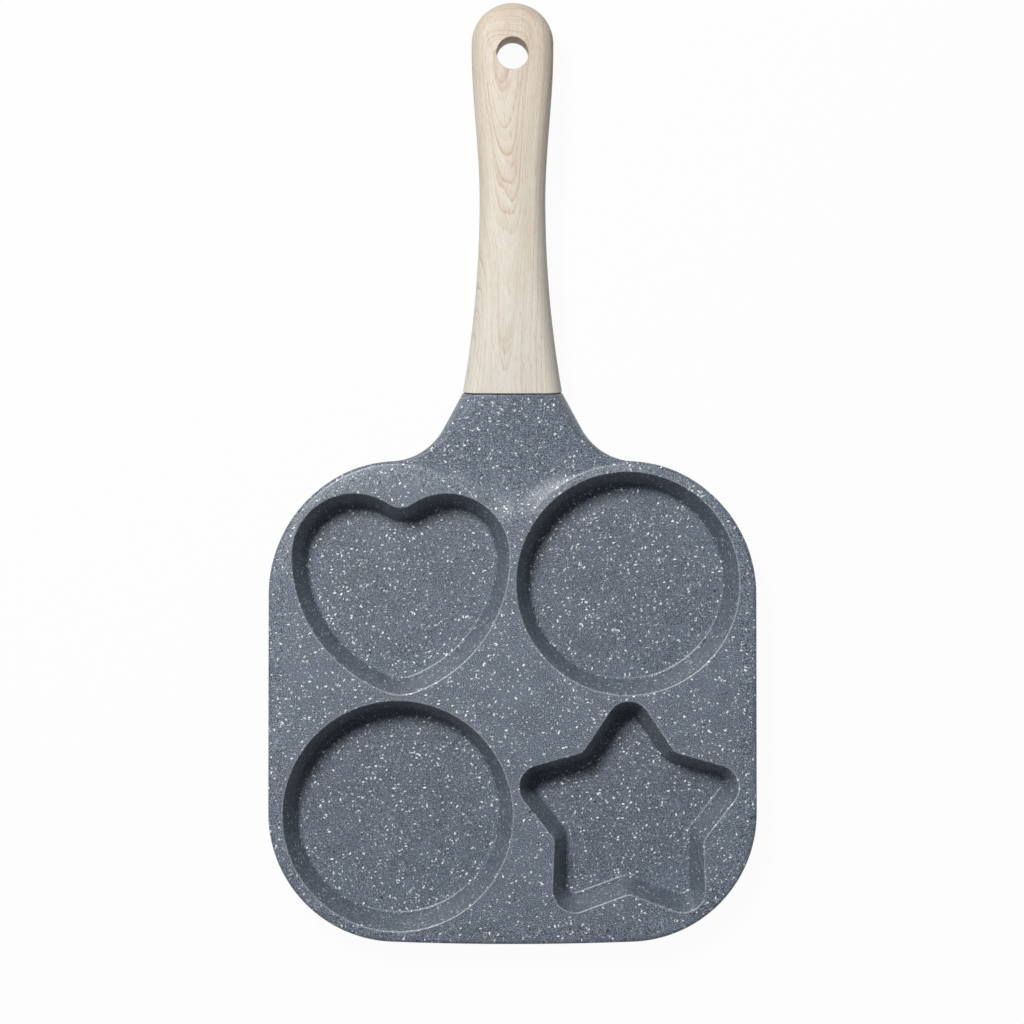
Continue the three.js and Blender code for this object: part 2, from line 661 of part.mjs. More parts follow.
// The right half of the grip's plan from before the joint to the middle of the tail, as points
// with their outward directions.
function gripSide() {
  const side = stations(-GRIP_EDGE_WIDTH, tailCentre, GRIP_STEPS).map((along) => {
    const reach = GRIP_LENGTH / GRIP_STEPS;
    const slope = (gripHalfWidth(along + reach) - gripHalfWidth(along - reach)) / (2 * reach);
    const turn = along < tailShoulder ? Math.atan(slope) : 0;
    return { x: gripHalfWidth(along), along, outX: Math.cos(turn), outAlong: -Math.sin(turn) };
  });
  const tail = stations(0, Math.PI / 2, TAIL_STEPS).slice(1, -1).map((angle) => ({
    x: tailRadius * Math.cos(angle),
    along: tailCentre + tailRadius * Math.sin(angle),
    outX: Math.cos(angle),
    outAlong: Math.sin(angle),
  }));
  return [...side, ...tail];
}

// A level of the grip: the plan drawn in by the edge's round, from the front right by way of the
// tail to the front left.
function gripRing(angle) {
  const inset = GRIP_EDGE_WIDTH * (1 - Math.cos(angle));
  const right = gripSide().map(({ x, along, outX, outAlong }) => {
    const at = along - outAlong * inset;
    return { x: x - outX * inset, along: at, lift: gripHalfThickness(at) * Math.sin(angle) };
  });
  const tip = { x: 0, along: GRIP_LENGTH - inset, lift: 0 };
  tip.lift = gripHalfThickness(tip.along) * Math.sin(angle);
  const left = right.map((point) => ({ ...point, x: -point.x })).reverse();
  return [...right, tip, ...left];
}

function gripBody() {
  const levels = stations(-Math.PI / 2, Math.PI / 2, 2 * GRIP_EDGE_STEPS).map(gripRing);
  const count = levels[0].length;
  const middle = (count - 1) / 2;
  const positions = levels.flat().flatMap(({ x, along, lift }) => bent(x, along, lift).toArray());
  const index = [];
  for (let level = 0; level + 1 < levels.length; level += 1) {
    for (let point = 0; point < count; point += 1) {
      const near = level * count + point;
      const next = level * count + (point + 1) % count;
      index.push(near, next, near + count, next, next + count, near + count);
    }
  }
  // Crowned faces above and below, in rows across from the right side to the left.
  for (const [ring, first, side] of [[levels[0], 0, -1], [levels.at(-1), (levels.length - 1) * count, 1]]) {
    const rows = [];
    for (let point = 0; point < middle; point += 1) {
      const { x, along, lift } = ring[point];
      const inner = stations(1, -1, CROWN_STEPS).slice(1, -1).map((share) => {
        const rounding = Math.min(1, x / GRIP_EDGE_WIDTH);
        const raised = lift + side * GRIP_CROWN * rounding * (1 - share ** 2);
        positions.push(...bent(x * share, along, raised).toArray());
        return positions.length / 3 - 1;
      });
      rows.push([first + point, ...inner, first + count - 1 - point]);
    }
    const face = (a, b, c) => index.push(...(side > 0 ? [a, b, c] : [a, c, b]));
    for (let row = 0; row + 1 < rows.length; row += 1) {
      for (let step = 0; step < CROWN_STEPS; step += 1) {
        face(rows[row][step], rows[row + 1][step], rows[row][step + 1]);
        face(rows[row + 1][step], rows[row + 1][step + 1], rows[row][step + 1]);
      }
    }
    for (let step = 0; step < CROWN_STEPS; step += 1) {
      face(rows.at(-1)[step], first + middle, rows.at(-1)[step + 1]);
    }
    // The front end's straight edge is replaced by the crowned row.
    const front = rows[0];
    for (let step = 1; step < CROWN_STEPS; step += 1) {
      face(front[0], front[step], front[step + 1]);
    }
  }
  return solid(geometryFrom(positions, index));
}

const seatZ = tangBottom - FIT_GAP - SEAT_THICKNESS;
const bodyLow = -GRIP_JOINT_THICKNESS;

function frontCut() {
  const span = 4 * GRIP_EDGE_WIDTH;
  return box(2 * GRIP_JOINT_WIDTH, span, 2 * GRIP_JOINT_THICKNESS, 0, FIT_GAP - span / 2, 0);
}

function mortise() {
  const rings = [-CUT_OVERRUN, TANG_LENGTH + MORTISE_END_SPACE]
    .map((along) => barRing(TANG_WIDTH + 2 * FIT_GAP, TANG_THICKNESS + 2 * FIT_GAP, along));
  return solid(loft(rings, uprightCap));
}

// The hanging hole, flared at both faces by its rounded edge.
function hangingHole() {
  const along = GRIP_LENGTH - HANG_HOLE_FROM_END;
  const half = gripHalfThickness(along) + GRIP_CROWN;
  const radius = HANG_HOLE_DIAMETER / 2;
  const edge = stations(0, Math.PI / 2, EDGE_STEPS).map((angle) => [
    radius + HANG_HOLE_EDGE * (1 - Math.cos(angle)),
    half - HANG_HOLE_EDGE * (1 - Math.sin(angle)),
  ]);
  const widest = radius + HANG_HOLE_EDGE;
  const upper = [...edge, [widest, half + CUT_OVERRUN], [0, half + CUT_OVERRUN]];
  const lower = upper.map(([reach, height]) => [reach, -height]).reverse();
  const points = [...lower, ...upper].map(([reach, height]) => new THREE.Vector2(reach, height));
  const lathe = new THREE.LatheGeometry(points, SCREW_STEPS);
  lathe.rotateX(Math.PI / 2);
  lathe.rotateX(-along * bend);
  const centre = bent(0, along, 0);
  lathe.translate(centre.x, centre.y, centre.z);
  return solid(lathe);
}

function handleGrip() {
  const counterbore = PLAIN_WASHER_DIAMETER / 2 + COUNTERBORE_GAP;
  const screwHole = SCREW_DIAMETER / 2 + SCREW_HOLE_GAP;
  return cutFrom(gripBody(), [
    frontCut(),
    mortise(),
    cylinder(counterbore, bodyLow, seatZ, SCREW_FROM_JOINT),
    cylinder(screwHole, bodyLow, TANG_LIFT, SCREW_FROM_JOINT),
    hangingHole(),
  ]);
}

// The screw stack hangs below the seat in the joint frame: plain washer, spring washer, head.

const plainWasherTop = seatZ - FIT_GAP;
const springWasherTop = plainWasherTop - PLAIN_WASHER_THICKNESS - FIT_GAP;
const headTop = springWasherTop - SPRING_WASHER_THICKNESS - FIT_GAP;
const headBottom = headTop - SCREW_HEAD_HEIGHT;
const washerBore = SCREW_DIAMETER / 2 + FIT_GAP;

function washerRing(diameter, thickness, top) {
  const bottom = top - thickness;
  const whole = cylinder(diameter / 2, bottom, top, SCREW_FROM_JOINT);
  return whole.subtract(cylinder(washerBore, bottom - CUT_OVERRUN, top + CUT_OVERRUN, SCREW_FROM_JOINT));
}

function plainWasher() {
  return washerRing(PLAIN_WASHER_DIAMETER, PLAIN_WASHER_THICKNESS, plainWasherTop);
}

function springWasher() {
  const ring = washerRing(SPRING_WASHER_DIAMETER, SPRING_WASHER_THICKNESS, springWasherTop);
  const height = SPRING_WASHER_THICKNESS + 2 * CUT_OVERRUN;
  const middle = springWasherTop - SPRING_WASHER_THICKNESS / 2;
  const split = box(SPRING_WASHER_DIAMETER, SPRING_WASHER_SPLIT, height,
    SPRING_WASHER_DIAMETER / 2, SCREW_FROM_JOINT, middle);
  return ring.subtract(split);
}

function handleScrew() {
  const radius = SCREW_HEAD_DIAMETER / 2;
  const rounded = stations(-Math.PI / 2, 0, EDGE_STEPS).map((angle) => [
    radius - SCREW_HEAD_ROUND * (1 - Math.cos(angle)),
    headBottom + SCREW_HEAD_ROUND * (1 + Math.sin(angle)),
  ]);
  const shank = SCREW_DIAMETER / 2;
  const tip = tangTop - SCREW_TIP_INSET;
  const body = turned([
    [0, headBottom], ...rounded, [radius, headTop], [shank, headTop],
    [shank, tip - SCREW_TIP_INSET], [shank - SCREW_TIP_INSET, tip], [0, tip],
  ], SCREW_FROM_JOINT);
  const slotMiddle = headBottom + CROSS_SLOT_DEPTH / 2 - CUT_OVERRUN / 2;
  const slotHeight = CROSS_SLOT_DEPTH + CUT_OVERRUN;
  return cutFrom(body, [
    box(CROSS_SLOT_LENGTH, CROSS_SLOT_WIDTH, slotHeight, 0, SCREW_FROM_JOINT, slotMiddle),
    box(CROSS_SLOT_WIDTH, CROSS_SLOT_LENGTH, slotHeight, 0, SCREW_FROM_JOINT, slotMiddle),
  ]);
}

// The assembly: the handle's pieces hang in the joint's frame, and the whole is set on the floor.

const handle = new THREE.Group();
handle.applyMatrix4(jointFrame);
handle.add(
  part('handle_grip', handleGrip(), WOOD),
  part('handle_screw', handleScrew(), STEEL),
  part('spring_washer', springWasher(), SPRING_STEEL),
  part('plain_washer', plainWasher(), STEEL),
);

const assembly = new THREE.Group();
assembly.add(part('pan_casting', panCasting(), COATING), handle);

const bounds = new THREE.Box3().setFromObject(assembly, true);
const centre = bounds.getCenter(new THREE.Vector3());
assembly.position.set(-centre.x, -centre.y, -bounds.min.z);

const pan = new THREE.Group();
pan.name = 'breakfast_pan';
pan.add(assembly);

export default pan;
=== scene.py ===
"""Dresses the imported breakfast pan: a speckled casting with four shaped cups, a pale wooden grip
and the screw that holds it, on a plain stage under soft light. Metres, +Y towards the grip."""

import math
from typing import NamedTuple

import bmesh
import bpy
from bpy.props import FloatProperty, FloatVectorProperty, IntProperty, PointerProperty
from bpy.types import Operator, Panel, PropertyGroup
from mathutils import Matrix, Vector
from mathutils.kdtree import KDTree


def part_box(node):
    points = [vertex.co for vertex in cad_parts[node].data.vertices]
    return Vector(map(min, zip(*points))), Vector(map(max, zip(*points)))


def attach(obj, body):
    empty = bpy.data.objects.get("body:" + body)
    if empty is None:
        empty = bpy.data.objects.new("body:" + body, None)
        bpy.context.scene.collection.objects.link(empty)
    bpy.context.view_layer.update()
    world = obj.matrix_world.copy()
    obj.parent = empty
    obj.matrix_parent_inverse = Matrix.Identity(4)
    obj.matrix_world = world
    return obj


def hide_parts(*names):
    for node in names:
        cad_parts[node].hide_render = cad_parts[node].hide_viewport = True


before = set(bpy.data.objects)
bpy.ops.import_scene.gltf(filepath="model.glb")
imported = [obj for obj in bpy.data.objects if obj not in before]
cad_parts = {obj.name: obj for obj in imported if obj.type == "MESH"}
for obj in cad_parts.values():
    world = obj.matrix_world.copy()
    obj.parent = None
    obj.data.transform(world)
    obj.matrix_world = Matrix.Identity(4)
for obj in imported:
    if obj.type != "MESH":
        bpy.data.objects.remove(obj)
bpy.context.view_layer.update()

bl_info = {
    "name": "Breakfast pan",
    "version": (1, 0, 0),
    "blender": (4, 5, 0),
    "location": "View3D > Sidebar > Pan",
    "description": "Builds a cast breakfast pan with a wooden grip over its packed frame",
    "category": "Add Mesh",
}

QUARTER = math.pi / 2
WELD = 2e-6


def size(name, description, default):
    return FloatProperty(name=name, description=description, default=default, unit="LENGTH", precision=4)


def angle(name, description, degrees):
    return FloatProperty(name=name, description=description, default=math.radians(degrees), subtype="ANGLE")


def colour(name, description, default):
    return FloatVectorProperty(name=name, description=description, default=default, size=3, subtype="COLOR",
                               min=0.0, max=1.0)


def share(name, description, default):
    return FloatProperty(name=name, description=description, default=default, subtype="FACTOR", min=0.0,
                         max=1.0)


def strength(name, description, default):
    return FloatProperty(name=name, description=description, default=default, min=0.0)


class CupSizes(PropertyGroup):
    """The outlines of the cups at the deck and the wall that they share."""

    upper_diameter: size("Upper round", "Diameter of the round cup next to the grip", 0.088)
    lower_diameter: size("Lower round", "Diameter of the round cup at the far end", 0.0908)
    heart_width: size("Heart width", "Width of the heart across its lobes", 0.086)
    heart_lobe: size("Heart lobe", "Radius of a lobe of the heart", 0.0249)
    heart_drop: size("Heart drop", "From the lobes' centres to the heart's tip", 0.0544)
    heart_tip: size("Heart tip", "Radius of the heart's tip", 0.0165)
    heart_cleft: size("Heart cleft", "Radius of the cleft between the lobes", 0.0073)
    star_points: IntProperty(name="Star points", description="Points of the star", default=5, min=3)
    star_reach: size("Star reach", "From the star's middle to the end of a point", 0.045)
    star_tip: size("Star tip", "Radius of a point of the star", 0.0092)
    star_inner: size("Star inner", "Radius of the corner between two points", 0.004)
    star_half_angle: angle("Star half angle", "Half the angle of a point of the star", 33.8)
    land: size("Land", "Flat land between two cups", 0.0013)
    upper_land_x: size("Upper land", "Place of the land between the upper cups", 0.00015)
    lower_land_x: size("Lower land", "Place of the land between the lower cups", 0.00135)
    left_land_y: size("Left land", "Place of the land between the left cups", 0.0017)
    right_land_y: size("Right land", "Place of the land between the right cups", 0.00145)
    depth: size("Depth", "From the deck to a cup's floor", 0.017)
    draft: angle("Draft", "Lean of a cup's wall", 16)
    edge: size("Edge", "Round where a cup's wall meets the deck", 0.001)
    fillet: size("Floor fillet", "Round where a cup's wall meets its floor", 0.0015)
    wall: size("Wall", "Thickness of a cup's wall", 0.003)
    floor: size("Floor", "Thickness of a cup's floor", 0.003)
    base_round: size("Base round", "Round at the foot of a cup's outer wall", 0.004)


class DeckSizes(PropertyGroup):
    """The plate round the cups."""

    thickness: size("Thickness", "Thickness of the deck", 0.005)
    side_land: size("Side land", "Deck beside the lower cups' mean reach", 0.00575)
    end_land: size("End land", "Deck below the lower cups' mean reach", 0.00825)
    collar_land: size("Collar land", "Deck round an upper cup, on the grip's side", 0.0035)
    corner_ease: size("Corner ease", "How much wider an upper corner turns than its collar", 0.0052)
    lower_corner: size("Lower corner", "Radius of a lower corner", 0.05)
    collar_turn: angle("Collar turn", "Where an upper corner runs into its collar", 60)
    bow: size("End bow", "Radius of the lower end's slight bow", 1.2)
    notch: size("Notch", "Radius of the notch between the collars", 0.008)
    crown_width: size("Crown width", "Width of the rounded upper edge", 0.0016)
    crown_drop: size("Crown drop", "Drop of the rounded upper edge", 0.0013)
    under_round: size("Under round", "Round of the lower edge", 0.0005)
    dome_width: size("Dome width", "Width of the band that falls gently towards the deck's edge", 0.01)
    dome_drop: size("Dome drop", "How far that band falls", 0.0005)


class NeckSizes(PropertyGroup):
    """The neck between the deck and the grip, and the tang inside the grip."""

    length: size("Length", "From the collars to the joint", 0.0258)
    taper: angle("Taper", "Lean of the neck's straight sides", 29)
    flare: size("Flare", "Radius of the flare at the deck", 0.024)
    wall: size("Wall", "Thickness of the neck's top and sides", 0.004)
    end_wall: size("End wall", "Thickness of the wall at the joint", 0.006)
    rise: size("Rise", "Height of the joint's upper edge over the deck", 0.0024)
    tilt: angle("Tilt", "Upward tilt at the joint", 6)
    root_edge: size("Root edge", "Width of the rounded edge at the deck", 0.0026)
    rib: size("Rib", "Thickness of the rib below the neck", 0.003)
    rib_step: size("Rib step", "How far the rib stands back from the lower edge", 0.0015)
    end_round: size("End round", "Round of the edge at the joint", 0.0005)
    valley_lead: size("Valley lead", "How far the valley starts before the notch", 0.004)
    valley_run: size("Valley run", "How far the valley deepens past the notch", 0.012)
    valley_start: size("Valley start", "Depth where the valley starts", 0.0006)
    valley_drop: size("Valley drop", "Greatest depth of the valley", 0.0017)
    valley_underlap: size("Valley underlap", "How far the valley runs under the collars", 0.0022)
    shoulder: size("Shoulder", "Width of the soft step from the collars down into the valley", 0.0075)
    shoulder_fade: size("Shoulder fade", "Out from the middle to where the soft step starts to fade", 0.018)
    shoulder_end: size("Shoulder end", "Out from the middle to where the soft step has gone", 0.034)
    tang_width: size("Tang width", "Width of the tang", 0.02)
    tang_thickness: size("Tang thickness", "Thickness of the tang", 0.006)
    tang_length: size("Tang length", "Length of the tang inside the grip", 0.042)
    tang_lift: size("Tang lift", "Height of the tang over the middle of the joint", 0.002)
    tang_nose: size("Tang nose", "Length of the tang's narrowed end", 0.003)


class GripSizes(PropertyGroup):
    """The wooden grip along its bent centre line."""

    length: size("Length", "From the joint to the tail", 0.1516)
    joint_width: size("Joint width", "Width at the joint", 0.0388)
    waist_width: size("Waist width", "Least width", 0.0256)
    waist_at: size("Waist place", "From the joint to the waist", 0.075)
    tail_width: size("Tail width", "Width at the tail", 0.0318)
    tail_shoulder: size("Tail shoulder", "Straight run before the tail's round", 0.002)
    joint_thickness: size("Joint thickness", "Thickness at the joint", 0.018)
    waist_thickness: size("Waist thickness", "Thickness at the waist", 0.015)
    tail_thickness: size("Tail thickness", "Thickness at the tail", 0.0144)
    edge: size("Edge", "Width of the rounded sides", 0.006)
    crown: size("Crown", "Rise of the upper and lower faces", 0.0007)
    tail_tilt: angle("Tail tilt", "Upward tilt at the tail", -2.5)
    front_round: size("Front round", "Round of the edge at the joint", 0.0004)
    hole: size("Hanging hole", "Diameter of the hanging hole", 0.0124)
    hole_edge: size("Hole edge", "Round of the hanging hole's edges", 0.0006)
    hole_from_end: size("Hole from end", "From the tail to the hole's middle", 0.0206)
    gap: size("Gap", "Room between neighbouring pieces", 0.0003)
    mortise_space: size("Mortise space", "Room past the end of the tang", 0.002)
    counterbore_gap: size("Counterbore gap", "Room round the plain washer", 0.0007)
    screw_gap: size("Screw gap", "Room round the screw's shank", 0.0005)


class ScrewSizes(PropertyGroup):
    """The screw from below and its washers."""

    from_joint: size("From joint", "From the joint to the screw", 0.024)
    diameter: size("Diameter", "Diameter of the shank over its thread", 0.005)
    pitch: size("Pitch", "Pitch of the thread", 0.0008)
    thread_depth: size("Thread depth", "Depth of the thread", 0.0004)
    tip_inset: size("Tip inset", "How far the tip stays inside the tang", 0.0006)
    head_diameter: size("Head diameter", "Diameter of the head", 0.009)
    head_height: size("Head height", "Height of the head", 0.0026)
    head_round: size("Head round", "Round of the head's edge", 0.001)
    slot_length: size("Slot length", "Length of a slot of the cross", 0.005)
    slot_width: size("Slot width", "Width of a slot of the cross", 0.0011)
    slot_depth: size("Slot depth", "Depth of the cross", 0.0015)
    seat: size("Seat", "Wood between the tang and the plain washer", 0.0024)
    plain_diameter: size("Plain washer", "Diameter of the plain washer", 0.01)
    plain_thickness: size("Plain thickness", "Thickness of the plain washer", 0.001)
    spring_diameter: size("Spring washer", "Diameter of the spring washer", 0.0088)
    spring_thickness: size("Spring thickness", "Thickness of the spring washer", 0.0012)
    spring_split: size("Spring split", "Width of the spring washer's split", 0.0009)


class Finishes(PropertyGroup):
    """Colours of the coating, the wood and the steel."""

    coating: colour("Coating", "Lighter mottling of the coating", (0.237, 0.279, 0.347))
    # the darker mottling colour is also the colour of the painted shade in the cups
    coating_dark: colour("Coating dark", "Darker mottling of the coating", (0.0505, 0.0625, 0.0835))
    # the pale fleck colour also paints the highlight along the cups' rounded edges
    fleck_and_rim_highlight: colour("Pale fleck", "Pale flecks in the coating", (0.98, 0.985, 0.99))
    speck: colour("Dark speck", "Dark specks in the coating", (0.012, 0.013, 0.018))
    wood: colour("Wood", "Pale wood of the grip", (0.722, 0.687, 0.614))
    # the grain line colour is also the colour of the painted shade towards the grip's tail
    wood_line: colour("Wood line", "Late wood and grain lines", (0.5, 0.37, 0.25))
    steel: colour("Steel", "Zinc-plated steel", (0.56, 0.57, 0.58))


class StageLook(PropertyGroup):
    """The floor, the light and the camera."""

    floor: colour("Floor", "Colour of the floor", (0.62, 0.62, 0.62))
    floor_size: size("Floor size", "Side of the square floor", 30.0)
    floor_white: share("Floor white", "How white the camera sees the floor", 0.96)
    key_level: strength("Key level", "Share of full white that the key gives", 0.86)
    key_bearing: angle("Key bearing", "Direction of the key light round the pan, from +X", 121)
    key_height: angle("Key height", "Height of the key light over the floor", 58)
    key_distance: size("Key distance", "From the deck to the key light", 1.4)
    key_size: size("Key size", "Side of the square key light", 0.34)
    sky: strength("Sky", "Strength of the even light all round", 0.115)
    camera_height: size("Camera height", "From the deck up to the camera", 1.3)
    frame_width: size("Frame width", "Width of the picture at the deck", 0.3979)
    aim_x: size("Aim across", "Place of the picture's middle across the pan", -0.0002)
    aim_y: size("Aim along", "Place of the picture's middle along the pan", -0.0149)


class PanSettings(PropertyGroup):
    """All the settings of the pan and its stage."""

    cups: PointerProperty(type=CupSizes)
    deck: PointerProperty(type=DeckSizes)
    neck: PointerProperty(type=NeckSizes)
    grip: PointerProperty(type=GripSizes)
    screw: PointerProperty(type=ScrewSizes)
    finish: PointerProperty(type=Finishes)
    stage: PointerProperty(type=StageLook)


class Wire:
    """An output of a node, used in plain expressions that add their Math nodes."""

    def __init__(self, tree, socket):
        self.tree = tree
        self.socket = socket

    def out(self, name):
        return Wire(self.tree, self.socket.node.outputs[name])

    def __add__(self, other):
        return self.tree.maths("ADD", self, other)

    def __sub__(self, other):
        return self.tree.maths("SUBTRACT", self, other)

    def __rsub__(self, other):
        return self.tree.maths("SUBTRACT", other, self)

    def __mul__(self, other):
        return self.tree.maths("MULTIPLY", self, other)

    def __truediv__(self, other):
        return self.tree.maths("DIVIDE", self, other)

    def __pow__(self, other):
        return self.tree.maths("POWER", self, other)

    def __neg__(self):
        return self.tree.maths("MULTIPLY", self, -1.0)

    def __lt__(self, other):
        return self.tree.maths("LESS_THAN", self, other)

    def __gt__(self, other):
        return self.tree.maths("GREATER_THAN", self, other)

    __radd__ = __add__


class Tree:
    """A node tree whose nodes all come from one method."""

    def __init__(self, tree):
        self.tree = tree

    def node(self, kind, settings=None, sockets=None, out=0):
        made = self.tree.nodes.new(kind)
        for name, value in (settings or {}).items():
            setattr(made, name, value)
        for key, value in (sockets or {}).items():
            for each in value if isinstance(value, list) else [value]:
                if isinstance(each, Wire):
                    self.tree.links.new(each.socket, made.inputs[key])
                else:
                    made.inputs[key].default_value = each
        return Wire(self, made.outputs[out]) if made.outputs else None

    def maths(self, operation, *values, clamp=False):
        settings = {"operation": operation, "use_clamp": clamp}
        return self.node("ShaderNodeMath", settings, dict(enumerate(values)))

    def clamped(self, value):
        return self.maths("ADD", value, 0.0, clamp=True)

    def xyz(self, x, y, z):
        return self.node("ShaderNodeCombineXYZ", None, {0: x, 1: y, 2: z})

    def part(self, vector, axis):
        return self.node("ShaderNodeSeparateXYZ", None, {0: vector}, out=axis)


class Material(Tree):
    """A material with one shader that feeds its output."""

    def __init__(self, name):
        self.material = bpy.data.materials.new(name)
        self.material.use_nodes = True
        super().__init__(self.material.node_tree)
        self.tree.nodes.clear()

    def mix(self, factor, first, second):
        as_colour = [value if isinstance(value, Wire) else (*value, 1.0) for value in (first, second)]
        settings = {"data_type": "RGBA", "clamp_factor": True}
        return self.node("ShaderNodeMix", settings, {0: factor, 6: as_colour[0], 7: as_colour[1]}, out=2)

    def noise(self, place, scale, detail):
        return self.node("ShaderNodeTexNoise", None, {"Vector": place, "Scale": scale, "Detail": detail})

    def bump(self, strength, distance, height):
        return self.node("ShaderNodeBump", None,
                         {"Strength": strength, "Distance": distance, "Height": height})

    def shade(self, sockets):
        surface = self.node("ShaderNodeBsdfPrincipled", None, sockets)
        self.node("ShaderNodeOutputMaterial", None, {"Surface": surface})
        return self.material


class Form(Tree):
    """A geometry tree with named inputs for its sizes."""

    def __init__(self, name, inputs):
        super().__init__(bpy.data.node_groups.new(name, "GeometryNodeTree"))
        self.tree.interface.new_socket("Geometry", in_out="OUTPUT", socket_type="NodeSocketGeometry")
        self.identifiers = {}
        for label, kind in inputs.items():
            socket = self.tree.interface.new_socket(label, in_out="INPUT", socket_type="NodeSocket" + kind)
            self.identifiers[label] = socket.identifier
        self.source = self.tree.nodes.new("NodeGroupInput")

    def given(self, label):
        return Wire(self, self.source.outputs[label])

    def choose(self, kind, values):
        """A value for each point of a line, by the point's number."""
        made = self.tree.nodes.new("GeometryNodeIndexSwitch")
        made.data_type = kind
        while len(made.index_switch_items) < len(values):
            made.index_switch_items.new()
        self.tree.links.new(self.node("GeometryNodeInputIndex").socket, made.inputs[0])
        for socket, value in zip(made.inputs[1:], values):
            if isinstance(value, Wire):
                self.tree.links.new(value.socket, socket)
            else:
                socket.default_value = value
        return Wire(self, made.outputs[0])

    def finish(self, geometry, material):
        real = self.node("GeometryNodeRealizeInstances", None, {0: geometry})
        done = self.node("GeometryNodeSetMaterial", None, {0: real, "Material": material})
        target = self.tree.nodes.new("NodeGroupOutput")
        self.tree.links.new(done.socket, target.inputs[0])

    def grown(self, values):
        """The plain mesh that the tree makes with these values."""
        host = bpy.data.objects.new(self.tree.name, bpy.data.meshes.new(self.tree.name))
        modifier = host.modifiers.new("form", "NODES")
        modifier.node_group = self.tree
        for label, value in values.items():
            modifier[self.identifiers[label]] = value
        mesh = evaluated_mesh(host)
        bpy.data.objects.remove(host)
        return mesh


def evaluated_mesh(host):
    """The mesh that an object's modifiers give."""
    bpy.context.scene.collection.objects.link(host)
    ready = host.evaluated_get(bpy.context.evaluated_depsgraph_get())
    mesh = bpy.data.meshes.new_from_object(ready)
    bpy.context.scene.collection.objects.unlink(host)
    return mesh


def placed(name, data):
    """A new object in the scene."""
    made = bpy.data.objects.new(name, data)
    bpy.context.scene.collection.objects.link(made)
    return made


def spread(start, end, count):
    """Even places from start to end, both of them in."""
    return [start + (end - start) * step / count for step in range(count + 1)]


def smooth_step(start, end, at):
    t = min(1.0, max(0.0, (at - start) / (end - start)))
    return t * t * (3 - 2 * t)


def eased(at, start, end):
    """A height between two (place, height, slope) ends."""
    run = end[0] - start[0]
    t = (at - start[0]) / run
    return ((2 * t ** 3 - 3 * t ** 2 + 1) * start[1] + (t ** 3 - 2 * t ** 2 + t) * run * start[2]
            + (3 * t ** 2 - 2 * t ** 3) * end[1] + (t ** 3 - t ** 2) * run * end[2])


ARC_TURN = math.radians(2.5)
ARC_REACH = 0.0015


def outline(arcs):
    """Points of a closed outline made of (x, y, radius, start, end) arcs with straight runs between."""
    points = []
    for x, y, radius, start, end in arcs:
        turn = abs(end - start)
        count = max(2, math.ceil(turn / ARC_TURN), math.ceil(turn * radius / ARC_REACH))
        for at in spread(start, end, count):
            point = Vector((x + radius * math.cos(at), y + radius * math.sin(at), 0.0))
            if not points or (point - points[-1]).length > WELD:
                points.append(point)
    if (points[0] - points[-1]).length < WELD:
        points.pop()
    return points


